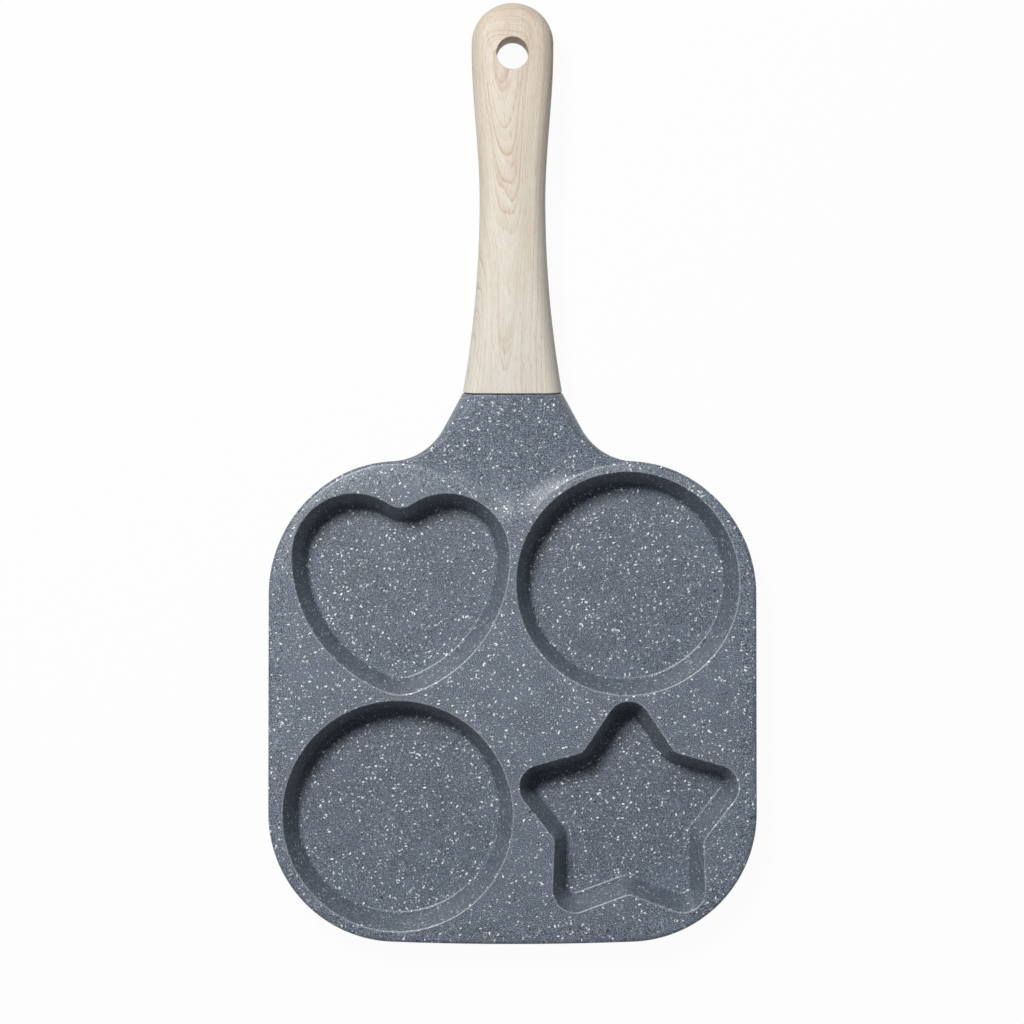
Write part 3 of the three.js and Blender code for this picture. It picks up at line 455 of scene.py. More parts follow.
class Plan:
    """Where the cups, the deck's edge and the joint lie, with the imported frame's origin."""

    def __init__(self, settings):
        cups, deck, neck, grip = settings.cups, settings.deck, settings.neck, settings.grip
        half_land = cups.land / 2
        pitch = 2 * math.pi / cups.star_points
        upper_radius, lower_radius = cups.upper_diameter / 2, cups.lower_diameter / 2
        star_out = cups.star_reach - cups.star_tip
        star_half = star_out * math.sin(pitch) + cups.star_tip
        star_drop = star_out * math.cos(pitch / 2) + cups.star_tip
        self.heart = Vector((cups.upper_land_x - half_land - cups.heart_width / 2,
                             cups.left_land_y + half_land + cups.heart_drop))
        self.upper = Vector((cups.upper_land_x + half_land + upper_radius,
                             cups.right_land_y + half_land + upper_radius))
        self.lower = Vector((cups.lower_land_x - half_land - lower_radius,
                             cups.left_land_y - half_land - lower_radius))
        self.star = Vector((cups.lower_land_x + half_land + star_half,
                            cups.right_land_y - half_land - cups.star_reach))
        self.deck_top = cups.floor + cups.depth
        self.deck_bottom = self.deck_top - deck.thickness
        self.collar_radius = upper_radius + deck.collar_land
        self.corner_radius = self.collar_radius + deck.corner_ease
        self.collar = self.upper.copy()
        ease = Vector((math.cos(deck.collar_turn), math.sin(deck.collar_turn))) * deck.corner_ease
        self.upper_corner = self.collar - ease
        half_width = (lower_radius - self.lower.x + self.star.x + star_half) / 2 + deck.side_land
        start = (self.lower.y - lower_radius + self.star.y - star_drop) / 2 - deck.end_land
        bow_reach = deck.bow - deck.lower_corner
        self.bow_turn = math.asin((half_width - deck.lower_corner) / bow_reach)
        self.bow_y = start + deck.bow
        corner_y = self.bow_y - bow_reach * math.cos(self.bow_turn)
        self.lower_corner = Vector((half_width - deck.lower_corner, corner_y))
        notch_reach = self.collar_radius + deck.notch
        self.notch_y = self.collar.y + math.sqrt(notch_reach ** 2 - self.collar.x ** 2)
        self.neck_start = self.collar.y + self.collar_radius
        self.joint_top = (self.neck_start + neck.length, self.deck_top + neck.rise)
        half_joint = grip.joint_thickness / 2
        self.shift = Matrix.Translation((0.0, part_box("pan_casting")[0][1] - start, 0.0))
        middle = (0.0, self.joint_top[0] + half_joint * math.sin(neck.tilt),
                  self.joint_top[1] - half_joint * math.cos(neck.tilt))
        self.joint = self.shift @ Matrix.Translation(middle) @ Matrix.Rotation(neck.tilt, 4, "X")

    def deck_outline(self, deck):
        apart = Vector((self.lower_corner.x - self.upper_corner.x, self.upper_corner.y - self.lower_corner.y))
        lean = math.asin((deck.lower_corner - self.corner_radius) / apart.length)
        side = math.atan2(apart.x, apart.y) + lean
        notch = math.atan2(self.notch_y - self.collar.y, -self.collar.x)
        upper, lower, collar = self.upper_corner, self.lower_corner, self.collar
        bow = self.bow_turn
        turn = deck.collar_turn
        pi = math.pi
        return outline([
            (0.0, self.bow_y, deck.bow, -QUARTER - bow, -QUARTER + bow),
            (lower.x, lower.y, deck.lower_corner, -QUARTER + bow, side),
            (upper.x, upper.y, self.corner_radius, side, turn),
            (collar.x, collar.y, self.collar_radius, turn, notch),
            (0.0, self.notch_y, deck.notch, notch - pi, -notch),
            (-collar.x, collar.y, self.collar_radius, pi - notch, pi - turn),
            (-upper.x, upper.y, self.corner_radius, pi - turn, pi - side),
            (-lower.x, lower.y, deck.lower_corner, pi - side, pi + QUARTER - bow),
        ])

    def heart_outline(self, cups):
        half = cups.heart_width / 2
        tip_y = cups.heart_drop - cups.heart_tip
        side_radius = ((half ** 2 + cups.heart_drop ** 2 - 2 * cups.heart_drop * cups.heart_tip)
                       / (2 * (half - cups.heart_tip)))
        lobe_x = half - cups.heart_lobe
        side_x = side_radius - half
        cleft_y = math.sqrt((cups.heart_lobe + cups.heart_cleft) ** 2 - lobe_x ** 2)
        tip = math.atan2(-tip_y, side_x)
        cleft = math.atan2(cleft_y, -lobe_x)
        x, y = self.heart
        pi = math.pi
        return outline([
            (x, y - tip_y, cups.heart_tip, -pi - tip, tip),
            (x - side_x, y, side_radius, tip, 0.0),
            (x + lobe_x, y, cups.heart_lobe, 0.0, cleft),
            (x, y + cleft_y, cups.heart_cleft, cleft - pi, -cleft),
            (x - lobe_x, y, cups.heart_lobe, pi - cleft, pi),
            (x + side_x, y, side_radius, pi, pi - tip),
        ])

    def star_outline(self, cups):
        tip_out = cups.star_reach - cups.star_tip
        pitch = 2 * math.pi / cups.star_points
        flank = QUARTER - cups.star_half_angle
        flank_out = tip_out * math.sin(cups.star_half_angle) + cups.star_tip
        inner_out = (flank_out + cups.star_inner) / math.cos(pitch / 2 - flank)
        arcs = []
        for point in range(cups.star_points):
            tip = QUARTER + point * pitch
            inner = tip + pitch / 2
            arcs.append((self.star.x + tip_out * math.cos(tip), self.star.y + tip_out * math.sin(tip),
                         cups.star_tip, tip - flank, tip + flank))
            arcs.append((self.star.x + inner_out * math.cos(inner), self.star.y + inner_out * math.sin(inner),
                         cups.star_inner, tip + flank + math.pi, tip + pitch - flank + math.pi))
        return outline(arcs)

    def cup_outlines(self, cups):
        rounds = [outline([(*self.upper, cups.upper_diameter / 2, 0.0, 2 * math.pi)]),
                  outline([(*self.lower, cups.lower_diameter / 2, 0.0, 2 * math.pi)])]
        return [self.heart_outline(cups), *rounds, self.star_outline(cups)]


def outline_curve(name, loop):
    data = bpy.data.curves.new(name, "CURVE")
    data.dimensions = "3D"
    spline = data.splines.new("POLY")
    spline.points.add(len(loop) - 1)
    spline.use_cyclic_u = True
    for point, place in zip(spline.points, loop):
        point.co = (*place, 1.0)
    return placed(name, data)


FILLET_STEPS = 8
CLOSED_EDGE_FACES = 2.0


def section(form, corners):
    """An open line through (offset, height, round) corners. A sweep turns its second axis downwards."""
    line = form.node("GeometryNodeMeshLine", None, {"Count": len(corners)})
    curve = form.node("GeometryNodeMeshToCurve", None, {0: line})
    places = form.choose("VECTOR", [form.xyz(offset, 0.0 - height, 0.0) for offset, height, _ in corners])
    laid = form.node("GeometryNodeSetPosition", None, {"Geometry": curve, "Position": places})
    rounds = form.choose("FLOAT", [corner[2] for corner in corners])
    return form.node("GeometryNodeFilletCurve", {"mode": "POLY"},
                     {"Curve": laid, "Count": FILLET_STEPS, "Radius": rounds, "Limit Radius": True})


def swept_solid(form, loops, profile):
    """The profile swept along closed loops, with a flat cap at its lowest and its highest level."""
    upright = form.node("GeometryNodeSetCurveNormal", {"mode": "Z_UP"}, {0: loops})
    sides = form.node("GeometryNodeCurveToMesh", None, {"Curve": upright, "Profile Curve": profile})
    height = form.part(form.node("GeometryNodeInputPosition"), 2)
    levels = form.node("GeometryNodeAttributeStatistic", None, {"Geometry": sides, "Attribute": height})
    low, high = levels.out("Min"), levels.out("Max")
    middle = (low + high) * 0.5
    is_open = form.node("GeometryNodeInputMeshEdgeNeighbors") < CLOSED_EDGE_FACES
    pieces = [sides]
    for level, at_end in ((low, height < middle), (high, height > middle)):
        loop = form.node("GeometryNodeMeshToCurve", None, {"Mesh": sides, "Selection": is_open * at_end})
        cap = form.node("GeometryNodeFillCurve", None, {"Curve": loop})
        lift = form.xyz(0.0, 0.0, level)
        pieces.append(form.node("GeometryNodeTransform", None, {"Geometry": cap, "Translation": lift}))
    joined = form.node("GeometryNodeJoinGeometry", None, {0: pieces[::-1]})
    return form.node("GeometryNodeMergeByDistance", None, {"Geometry": joined, "Distance": WELD})


def loops_of(form):
    return form.node("GeometryNodeObjectInfo", {"transform_space": "ORIGINAL"},
                     {"Object": form.given("Outline")}, out="Geometry")


def number_inputs(*labels):
    return {"Outline": "Object", **{label: "Float" for label in labels}}


def cup_lines(form):
    """What both walls of a cup share: their lean, a round's tangent length and the offset at the deck."""
    draft = form.given("Draft")
    lean = form.maths("TANGENT", draft)
    ease = form.maths("TANGENT", (QUARTER - draft) * 0.5)
    return lean, ease, -(form.given("Edge") * ease)


def hollow_form(material):
    """The spaces of the cups, from their floors to above the deck."""
    form = Form("cup_hollows", number_inputs("Deck level", "Depth", "Draft", "Edge", "Floor fillet",
                                             "Overrun"))
    lean, ease, rim = cup_lines(form)
    level, depth, fillet = form.given("Deck level"), form.given("Depth"), form.given("Floor fillet")
    floor = level - depth
    foot = rim - depth * lean
    profile = section(form, [(foot - fillet * ease, floor, 0.0), (foot, floor, fillet),
                             (rim, level, form.given("Edge")), (0.0, level, 0.0),
                             (0.0, level + form.given("Overrun"), 0.0)])
    form.finish(swept_solid(form, loops_of(form), profile), material)
    return form


def shell_form(material):
    """The outer walls of the cups, from their bases to inside the deck."""
    form = Form("cup_shells", number_inputs("Deck level", "Depth", "Draft", "Edge", "Wall", "Floor",
                                            "Base round", "Shell top"))
    lean, ease, rim = cup_lines(form)
    level, base_round, top = form.given("Deck level"), form.given("Base round"), form.given("Shell top")
    outer = rim + form.given("Wall") / form.maths("COSINE", form.given("Draft"))
    height = form.given("Depth") + form.given("Floor")
    base = level - height
    foot = outer - height * lean
    profile = section(form, [(foot - base_round * ease, base, 0.0), (foot, base, base_round),
                             (outer - (level - top) * lean, top, 0.0)])
    form.finish(swept_solid(form, loops_of(form), profile), material)
    return form


DOME_STEPS = 6
UNDER_RUN = 2.0


def deck_form(material):
    """The deck's plate, drawn squeezed so that a round gives the ellipse of its crowned upper edge."""
    form = Form("deck_plate", number_inputs("Deck level", "Thickness", "Crown width", "Crown drop",
                                            "Under round", "Dome width"))
    level, drop, under = form.given("Deck level"), form.given("Crown drop"), form.given("Under round")
    bottom = level - form.given("Thickness")
    stretch = form.given("Crown width") / drop
    band = form.given("Dome width") / stretch
    inner = [(-drop - band * (step / DOME_STEPS), level, 0.0) for step in range(DOME_STEPS + 1)]
    squeezed = section(form, [(under * -UNDER_RUN, bottom, 0.0), (0.0, bottom, under), (0.0, level, drop),
                              *inner])
    widen = form.xyz(stretch, 1.0, 1.0)
    profile = form.node("GeometryNodeTransform", None, {"Geometry": squeezed, "Scale": widen})
    form.finish(swept_solid(form, loops_of(form), profile), material)
    return form


THREAD_STEPS = 32
RIDGE_SIDES = 3


def thread_form(material):
    """A ridge that climbs round the screw's shank."""
    form = Form("screw_thread", {label: "Float" for label in ("Radius", "Turns", "Length", "Ridge")})
    height = form.given("Ridge")
    middle = form.given("Radius") - height
    path = form.node("GeometryNodeCurveSpiral", None, {
        "Resolution": THREAD_STEPS, "Rotations": form.given("Turns"), "Start Radius": middle,
        "End Radius": middle, "Height": form.given("Length")})
    upright = form.node("GeometryNodeSetCurveNormal", {"mode": "Z_UP"}, {0: path})
    ridge = form.node("GeometryNodeCurvePrimitiveCircle", None, {"Resolution": RIDGE_SIDES, "Radius": height})
    swept = form.node("GeometryNodeCurveToMesh", None,
                      {"Curve": upright, "Profile Curve": ridge, "Fill Caps": True})
    form.finish(swept, material)
    return form


def tidy_mesh(name, made):
    """The mesh of these faces, with its doubles merged and its faces turned outwards."""
    bmesh.ops.remove_doubles(made, verts=made.verts, dist=WELD)
    bmesh.ops.recalc_face_normals(made, faces=made.faces)
    mesh = bpy.data.meshes.new(name)
    made.to_mesh(mesh)
    made.free()
    return mesh


def closed(mesh):
    """A form's mesh as a closed one."""
    made = bmesh.new()
    made.from_mesh(mesh)
    return tidy_mesh(mesh.name, made)


def solid(name, points, faces):
    made = bmesh.new()
    corners = [made.verts.new(point) for point in points]
    for face in faces:
        made.faces.new([corners[index] for index in face])
    return tidy_mesh(name, made)


def strips(rows, count, wrap):
    """The quads between rows of points that lie one after another."""
    last = count if wrap else count - 1
    for row in range(rows - 1):
        for point in range(last):
            near, next_one = row * count + point, row * count + (point + 1) % count
            yield (near, next_one, next_one + count, near + count)


def loft(name, rings):
    """A solid through closed rings, with a flat end at the first and the last."""
    count = len(rings[0])
    faces = list(strips(len(rings), count, wrap=True))
    end = (len(rings) - 1) * count
    faces += [tuple(range(count)), tuple(range(end, end + count))]
    return solid(name, [point for ring in rings for point in ring], faces)


TURN_STEPS = 48


def turned(name, profile):
    """A solid turned about Z from (radius, height) points: a ring, or a body that starts on the axis."""
    points = [(radius * math.cos(at), radius * math.sin(at), height)
              for at in spread(0.0, 2 * math.pi, TURN_STEPS) for radius, height in profile]
    return solid(name, points, strips(TURN_STEPS + 1, len(profile), wrap=profile[0][0] > 0))


def moved(mesh, matrix):
    mesh.transform(matrix)
    return mesh


def block(name, width, length, height, place):
    made = bmesh.new()
    sides = Matrix.Diagonal((width, length, height, 1.0))
    bmesh.ops.create_cube(made, size=1.0, matrix=Matrix.Translation(place) @ sides)
    return tidy_mesh(name, made)


def combined(mesh, *steps):
    """The mesh after each (operation, tool mesh) in turn."""
    host = bpy.data.objects.new(mesh.name, mesh)
    tools = []
    for operation, tool_mesh in steps:
        tool = placed(tool_mesh.name, tool_mesh)
        tools.append(tool)
        modifier = host.modifiers.new(operation, "BOOLEAN")
        modifier.operation = operation
        modifier.solver = "MANIFOLD"
        modifier.object = tool
    result = evaluated_mesh(host)
    for tool in (*tools, host):
        bpy.data.objects.remove(tool)
    if not result.polygons:
        raise RuntimeError(f"{mesh.name} lost its faces")
    return result


SHARP_ANGLE = math.radians(32)
BOX_ROOM = 0.001


def finished(name, mesh, material, node):
    """A smooth-shaded piece that stands for a node of the frame."""
    mesh.materials.clear()
    mesh.materials.append(material)
    mesh.shade_smooth()
    mesh.set_sharp_from_angle(angle=SHARP_ANGLE)
    host = bpy.data.objects.new(name, mesh)
    weighted = host.modifiers.new("even shading", "WEIGHTED_NORMAL")
    weighted.keep_sharp = True
    shaded = evaluated_mesh(host)
    bpy.data.objects.remove(host)
    shaded.name = name
    for axis in range(3):
        places = [vertex.co[axis] for vertex in shaded.vertices]
        for found, wanted in zip((min(places), max(places)), (corner[axis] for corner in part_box(node))):
            if abs(found - wanted) > BOX_ROOM:
                raise RuntimeError(f"{name} has lost a part of its form")
    piece = placed(name, shaded)
    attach(piece, "root")
    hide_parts(node)


FLARE_STEPS = 30
TAPER_STEPS = 24
VALLEY_STEPS = 24
EDGE_STEPS = 10
CROWN_STEPS = 32
END_STEPS = 4
SIDE_TURNS = spread(-QUARTER, QUARTER, 2 * EDGE_STEPS)
CROWN_PARTS = spread(1.0, -1.0, CROWN_STEPS)[1:-1]
OVERRUN = 0.001
OVERLAP = 0.003
SEAM = 0.00002


def mirrored(right, *middle):
    """A ring's right side, the points in its middle and the right side's mirror image."""
    return [*right, *middle, *((-x, y, z) for x, y, z in reversed(right))]


class Neck:
    """The neck's plan and its upper and lower lines."""

    def __init__(self, settings, plan):
        self.neck, self.grip, self.plan = settings.neck, settings.grip, plan
        neck, grip = self.neck, self.grip
        self.notch, self.crown = settings.deck.notch, settings.deck.crown_width
        self.start = plan.neck_start
        self.end, self.end_z = plan.joint_top
        self.flare_turn = QUARTER - neck.taper
        tangent = neck.flare * math.tan(self.flare_turn / 2)
        self.flare_x = grip.joint_width / 2 + neck.length * math.tan(neck.taper) + tangent
        self.flare_end = self.start + tangent * math.cos(neck.taper)
        slope = math.tan(neck.tilt)
        mouth = plan.notch_y - settings.deck.notch
        self.valley_start = (mouth - neck.valley_lead, plan.deck_top - neck.valley_start, 0.0)
        self.valley_low = (mouth + neck.valley_run, plan.deck_top - neck.valley_drop, 0.0)
        self.top_end = (self.end, self.end_z, slope)
        self.bottom_start = (self.start, plan.deck_bottom, 0.0)
        self.bottom_end = (self.end + grip.joint_thickness * math.sin(neck.tilt),
                           self.end_z - grip.joint_thickness * math.cos(neck.tilt), slope)

    def half_width(self, y):
        if y < self.start:
            inner = self.plan.collar_radius - self.neck.root_edge - self.neck.valley_underlap
            reach = inner ** 2 - max(0.0, y - self.plan.collar.y) ** 2
            return min(self.flare_x, self.plan.collar.x - math.sqrt(max(0.0, reach)))
        if y < self.flare_end:
            above = self.neck.flare - (y - self.start)
            return self.flare_x - math.sqrt(self.neck.flare ** 2 - above ** 2)
        return self.grip.joint_width / 2 + max(0.0, self.end - y) * math.tan(self.neck.taper)

    def top_z(self, y):
        if y < self.valley_low[0]:
            return eased(y, self.valley_start, self.valley_low)
        return eased(y, self.valley_low, self.top_end)

    def from_deck(self, x, y):
        """Distance in plan from the deck's edge beside the valley, less than nothing on the deck."""
        collar, below = self.plan.collar, self.plan.notch_y - y
        if x * (self.plan.notch_y - collar.y) < below * collar.x:
            return self.notch - math.hypot(x, below)
        return math.hypot(x - collar.x, y - collar.y) - self.plan.collar_radius

    def raised(self, x, y, top_z):
        """How far the soft step beside the collars lifts a point of the upper line to the deck's level."""
        step = smooth_step(-self.crown, self.neck.shoulder - self.crown, self.from_deck(abs(x), y))
        fade = smooth_step(self.neck.shoulder_fade, self.neck.shoulder_end, abs(x))
        return (self.plan.deck_top - SEAM - top_z) * (1 - step) * (1 - fade)

    def stations(self, end):
        flare = [self.start + self.neck.flare * (1 - math.cos(turn))
                 for turn in spread(0.0, self.flare_turn, FLARE_STEPS)]
        return flare + spread(self.flare_end, end, TAPER_STEPS)[1:]

    def lines(self, y):
        """Top point, bottom point, half width and width of the rounded edge at a place on the upper line."""
        top = (y, self.top_z(y))
        if y < self.start:
            return top, (y, self.plan.deck_bottom), self.half_width(y), self.neck.root_edge
        along = (y - self.start) / (self.end - self.start)
        low_y = self.start + (self.bottom_end[0] - self.start) * along
        edge = self.neck.root_edge + (self.grip.edge - self.neck.root_edge) * along
        bottom = (low_y, eased(low_y, self.bottom_start, self.bottom_end))
        return top, bottom, self.half_width(y), edge

    def section(self, top, bottom, half_width, edge):
        middle = (Vector(top) + Vector(bottom)) / 2
        rise = (Vector(top) - Vector(bottom)) / 2
        flat = half_width - edge
        crown = self.grip.crown / rise.length

        def across(x, lift):
            y, z = middle + rise * lift
            top_z = max(z, top[1])
            return Vector((x, y, z + self.raised(x, top[0], top_z) * (1 + min(1.0, lift)) / 2))

        right = [across(flat + edge * math.cos(at), math.sin(at)) for at in SIDE_TURNS]
        over = [across(flat * part, 1 + crown * (1 - part ** 2)) for part in CROWN_PARTS]
        return mirrored(right, *over)

    def body(self):
        turn_in = self.neck.end_round
        valley = spread(self.valley_start[0], self.start, VALLEY_STEPS)[:-1]
        rings = [self.section(*self.lines(y)) for y in valley + self.stations(self.end - turn_in)]
        for at in spread(0.0, QUARTER, END_STEPS)[1:]:
            inset = turn_in * (1 - math.cos(at))
            top, bottom, half_width, edge = self.lines(self.end - turn_in * (1 - math.sin(at)))
            rings.append(self.section((top[0], top[1] - inset), (bottom[0], bottom[1] + inset),
                                      half_width - inset, edge - inset))
        return loft("neck", rings)

    def hollow(self):
        rings = []
        for y in self.stations(self.end - self.neck.end_wall):
            top, bottom, half_width, _ = self.lines(y)
            roof = top[1] - self.neck.wall
            low = min(bottom[1], roof) - 2 * OVERRUN
            rings.append(self.section((top[0], roof), (bottom[0], low), half_width - self.neck.wall,
                                      self.neck.root_edge))
        return loft("neck_hollow", rings)

    def rib(self):
        half = self.neck.rib / 2
        rings = []
        for y in self.stations(self.end - OVERLAP):
            top, bottom, _, _ = self.lines(y)
            low = min(bottom[1] + self.neck.rib_step, top[1] - self.neck.wall)
            high = top[1] - self.neck.wall / 2
            rings.append(mirrored([(half, bottom[0], low), (half, top[0], high)]))
        return loft("neck_rib", rings)


def bar_ring(neck, width, thickness, along):
    """A flat bar with half-round sides, as a ring across the joint's own Y."""
    radius = thickness / 2
    flat = width / 2 - radius
    return mirrored([(flat + radius * math.cos(at), along, neck.tang_lift + radius * math.sin(at))
                     for at in SIDE_TURNS])


def tang(neck):
    nose = neck.tang_nose
    return loft("tang", [
        bar_ring(neck, neck.tang_width, neck.tang_thickness, -OVERLAP),
        bar_ring(neck, neck.tang_width, neck.tang_thickness, neck.tang_length - nose),
        bar_ring(neck, neck.tang_width - nose, neck.tang_thickness - nose / 2, neck.tang_length),
    ])


def rod(name, radius, bottom, top):
    return turned(name, [(0.0, bottom), (radius, bottom), (radius, top), (0.0, top)])


GRIP_STEPS = 100
TAIL_STEPS = 24
FRONT_STEPS = 3
HOLE_STEPS = 6
GRAIN_HALF_WIDTH = 0.013


class Grip:
    """The grip's plan and thickness, drawn flat along the joint's Y and bent down along an arc."""

    def __init__(self, settings):
        self.grip, self.neck, self.screw = settings.grip, settings.neck, settings.screw
        grip = self.grip
        self.bend = (self.neck.tilt - grip.tail_tilt) / grip.length
        self.tail_radius = grip.tail_width / 2
        self.tail_centre = grip.length - self.tail_radius
        self.shoulder = self.tail_centre - grip.tail_shoulder
        self.tang_bottom = self.neck.tang_lift - self.neck.tang_thickness / 2
        self.seat_z = self.tang_bottom - grip.gap - self.screw.seat

    def bent(self, x, along, lift):
        centre, turn = 1 / self.bend, along * self.bend
        radius = centre + lift
        return Vector((x, radius * math.sin(turn), radius * math.cos(turn) - centre))

    def flat(self, point):
        """The inverse of bent: across, along and lift of a point."""
        centre = 1 / self.bend
        above = point.z + centre
        return point.x, math.atan2(point.y, above) / self.bend, math.hypot(point.y, above) - centre

    def half_width(self, along):
        waist = self.grip.waist_width / 2
        if along < self.grip.waist_at:
            return waist + (self.grip.joint_width / 2 - waist) * (1 - along / self.grip.waist_at) ** 2
        return waist + (self.tail_radius - waist) * smooth_step(self.grip.waist_at, self.shoulder, along)

    def half_thickness(self, along):
        grip = self.grip
        to_waist = smooth_step(0.0, grip.waist_at, along)
        to_tail = smooth_step(grip.waist_at, self.shoulder, along)
        return (grip.joint_thickness + (grip.waist_thickness - grip.joint_thickness) * to_waist
                + (grip.tail_thickness - grip.waist_thickness) * to_tail) / 2

    def side(self):
        """The plan's right half: across, along, outward direction, and how far the front's round draws in."""
        grip = self.grip
        points = []
        for at in spread(0.0, QUARTER, FRONT_STEPS)[:-1]:
            along = grip.gap + grip.front_round * (1 - math.cos(at))
            points.append((self.half_width(along), along, 1.0, 0.0, grip.front_round * (1 - math.sin(at))))
        reach = grip.length / GRIP_STEPS
        for along in spread(grip.gap + grip.front_round, self.tail_centre, GRIP_STEPS):
            slope = (self.half_width(along + reach) - self.half_width(along - reach)) / (2 * reach)
            turn = math.atan(slope) * smooth_step(0.0, 2 * grip.edge, along) if along < self.shoulder else 0.0
            points.append((self.half_width(along), along, math.cos(turn), -math.sin(turn), 0.0))
        for at in spread(0.0, QUARTER, TAIL_STEPS)[1:-1]:
            out_x, out_along = math.cos(at), math.sin(at)
            points.append((self.tail_radius * out_x, self.tail_centre + self.tail_radius * out_along,
                           out_x, out_along, 0.0))
        return points

    def ring(self, at):
        """A level of the grip from the front right by way of the tail to the front left."""
        inset = self.grip.edge * (1 - math.cos(at))
        right = []
        for x, along, out_x, out_along, drawn in self.side():
            place = along - out_along * inset
            lift = (self.half_thickness(place) - drawn) * math.sin(at)
            right.append((x - out_x * inset - drawn * math.cos(at), place, lift))
        tip = self.grip.length - inset
        middle = (0.0, tip, self.half_thickness(tip) * math.sin(at))
        return mirrored(right, middle)

    def body(self):
        levels = [self.ring(at) for at in SIDE_TURNS]
        count = len(levels[0])
        middle = count // 2
        points = [point for level in levels for point in level]
        faces = list(strips(len(levels), count, wrap=True))
        for first, side in ((0, -1), ((len(levels) - 1) * count, 1)):
            rows = []
            for number in range(middle):
                x, along, lift = points[first + number]
                rounding = min(1.0, x / self.grip.edge)
                row = [first + number]
                for part in CROWN_PARTS:
                    raised = lift + side * self.grip.crown * rounding * (1 - part ** 2)
                    row.append(len(points))
                    points.append((x * part, along, raised))
                rows.append(row + [first + count - 1 - number])
            for near, far in zip(rows, rows[1:]):
                faces += [(near[i], near[i + 1], far[i + 1], far[i]) for i in range(CROWN_STEPS)]
            faces += [(rows[-1][i], rows[-1][i + 1], first + middle) for i in range(CROWN_STEPS)]
            faces.append(tuple(rows[0]))
        return solid("grip", [self.bent(*point) for point in points], faces)

    def mortise(self):
        grip, neck = self.grip, self.neck
        width, thickness = neck.tang_width + 2 * grip.gap, neck.tang_thickness + 2 * grip.gap
        ends = (-OVERRUN, neck.tang_length + grip.mortise_space)
        return loft("mortise", [bar_ring(neck, width, thickness, end) for end in ends])

    def screw_bores(self):
        low = -self.grip.joint_thickness
        place = Matrix.Translation((0.0, self.screw.from_joint, 0.0))
        wide = self.screw.plain_diameter / 2 + self.grip.counterbore_gap
        narrow = self.screw.diameter / 2 + self.grip.screw_gap
        return (moved(rod("counterbore", wide, low, self.seat_z), place),
                moved(rod("screw_bore", narrow, low, self.neck.tang_lift), place))

    def hanging_hole(self):
        grip = self.grip
        along = grip.length - grip.hole_from_end
        half = self.half_thickness(along) + grip.crown
        radius = grip.hole / 2
        edge = [(radius + grip.hole_edge * (1 - math.cos(at)), half - grip.hole_edge * (1 - math.sin(at)))
                for at in spread(0.0, QUARTER, HOLE_STEPS)]
        upper = edge + [(radius + grip.hole_edge, half + OVERRUN), (0.0, half + OVERRUN)]
        lower = [(reach, -height) for reach, height in reversed(upper)]
        place = Matrix.Translation(self.bent(0.0, along, 0.0)) @ Matrix.Rotation(-along * self.bend, 4, "X")
        return moved(turned("hanging_hole", lower + upper), place)

    def set_grain(self, mesh):
        """Stores each point's place in the wood, its width evened out so that the grain follows the sides."""
        grain = mesh.attributes.new("grain", "FLOAT_VECTOR", "POINT")
        for vertex, value in zip(mesh.vertices, grain.data):
            across, along, lift = self.flat(vertex.co)
            value.vector = (across / self.half_width(along) * GRAIN_HALF_WIDTH, along, lift)

    def shaped(self):
        cutters = (self.mortise(), *self.screw_bores(), self.hanging_hole())
        mesh = combined(self.body(), *[("DIFFERENCE", cutter) for cutter in cutters])
        self.set_grain(mesh)
        return mesh


RIDGE_SHARE = 0.8
WASHER_EASE = 0.15


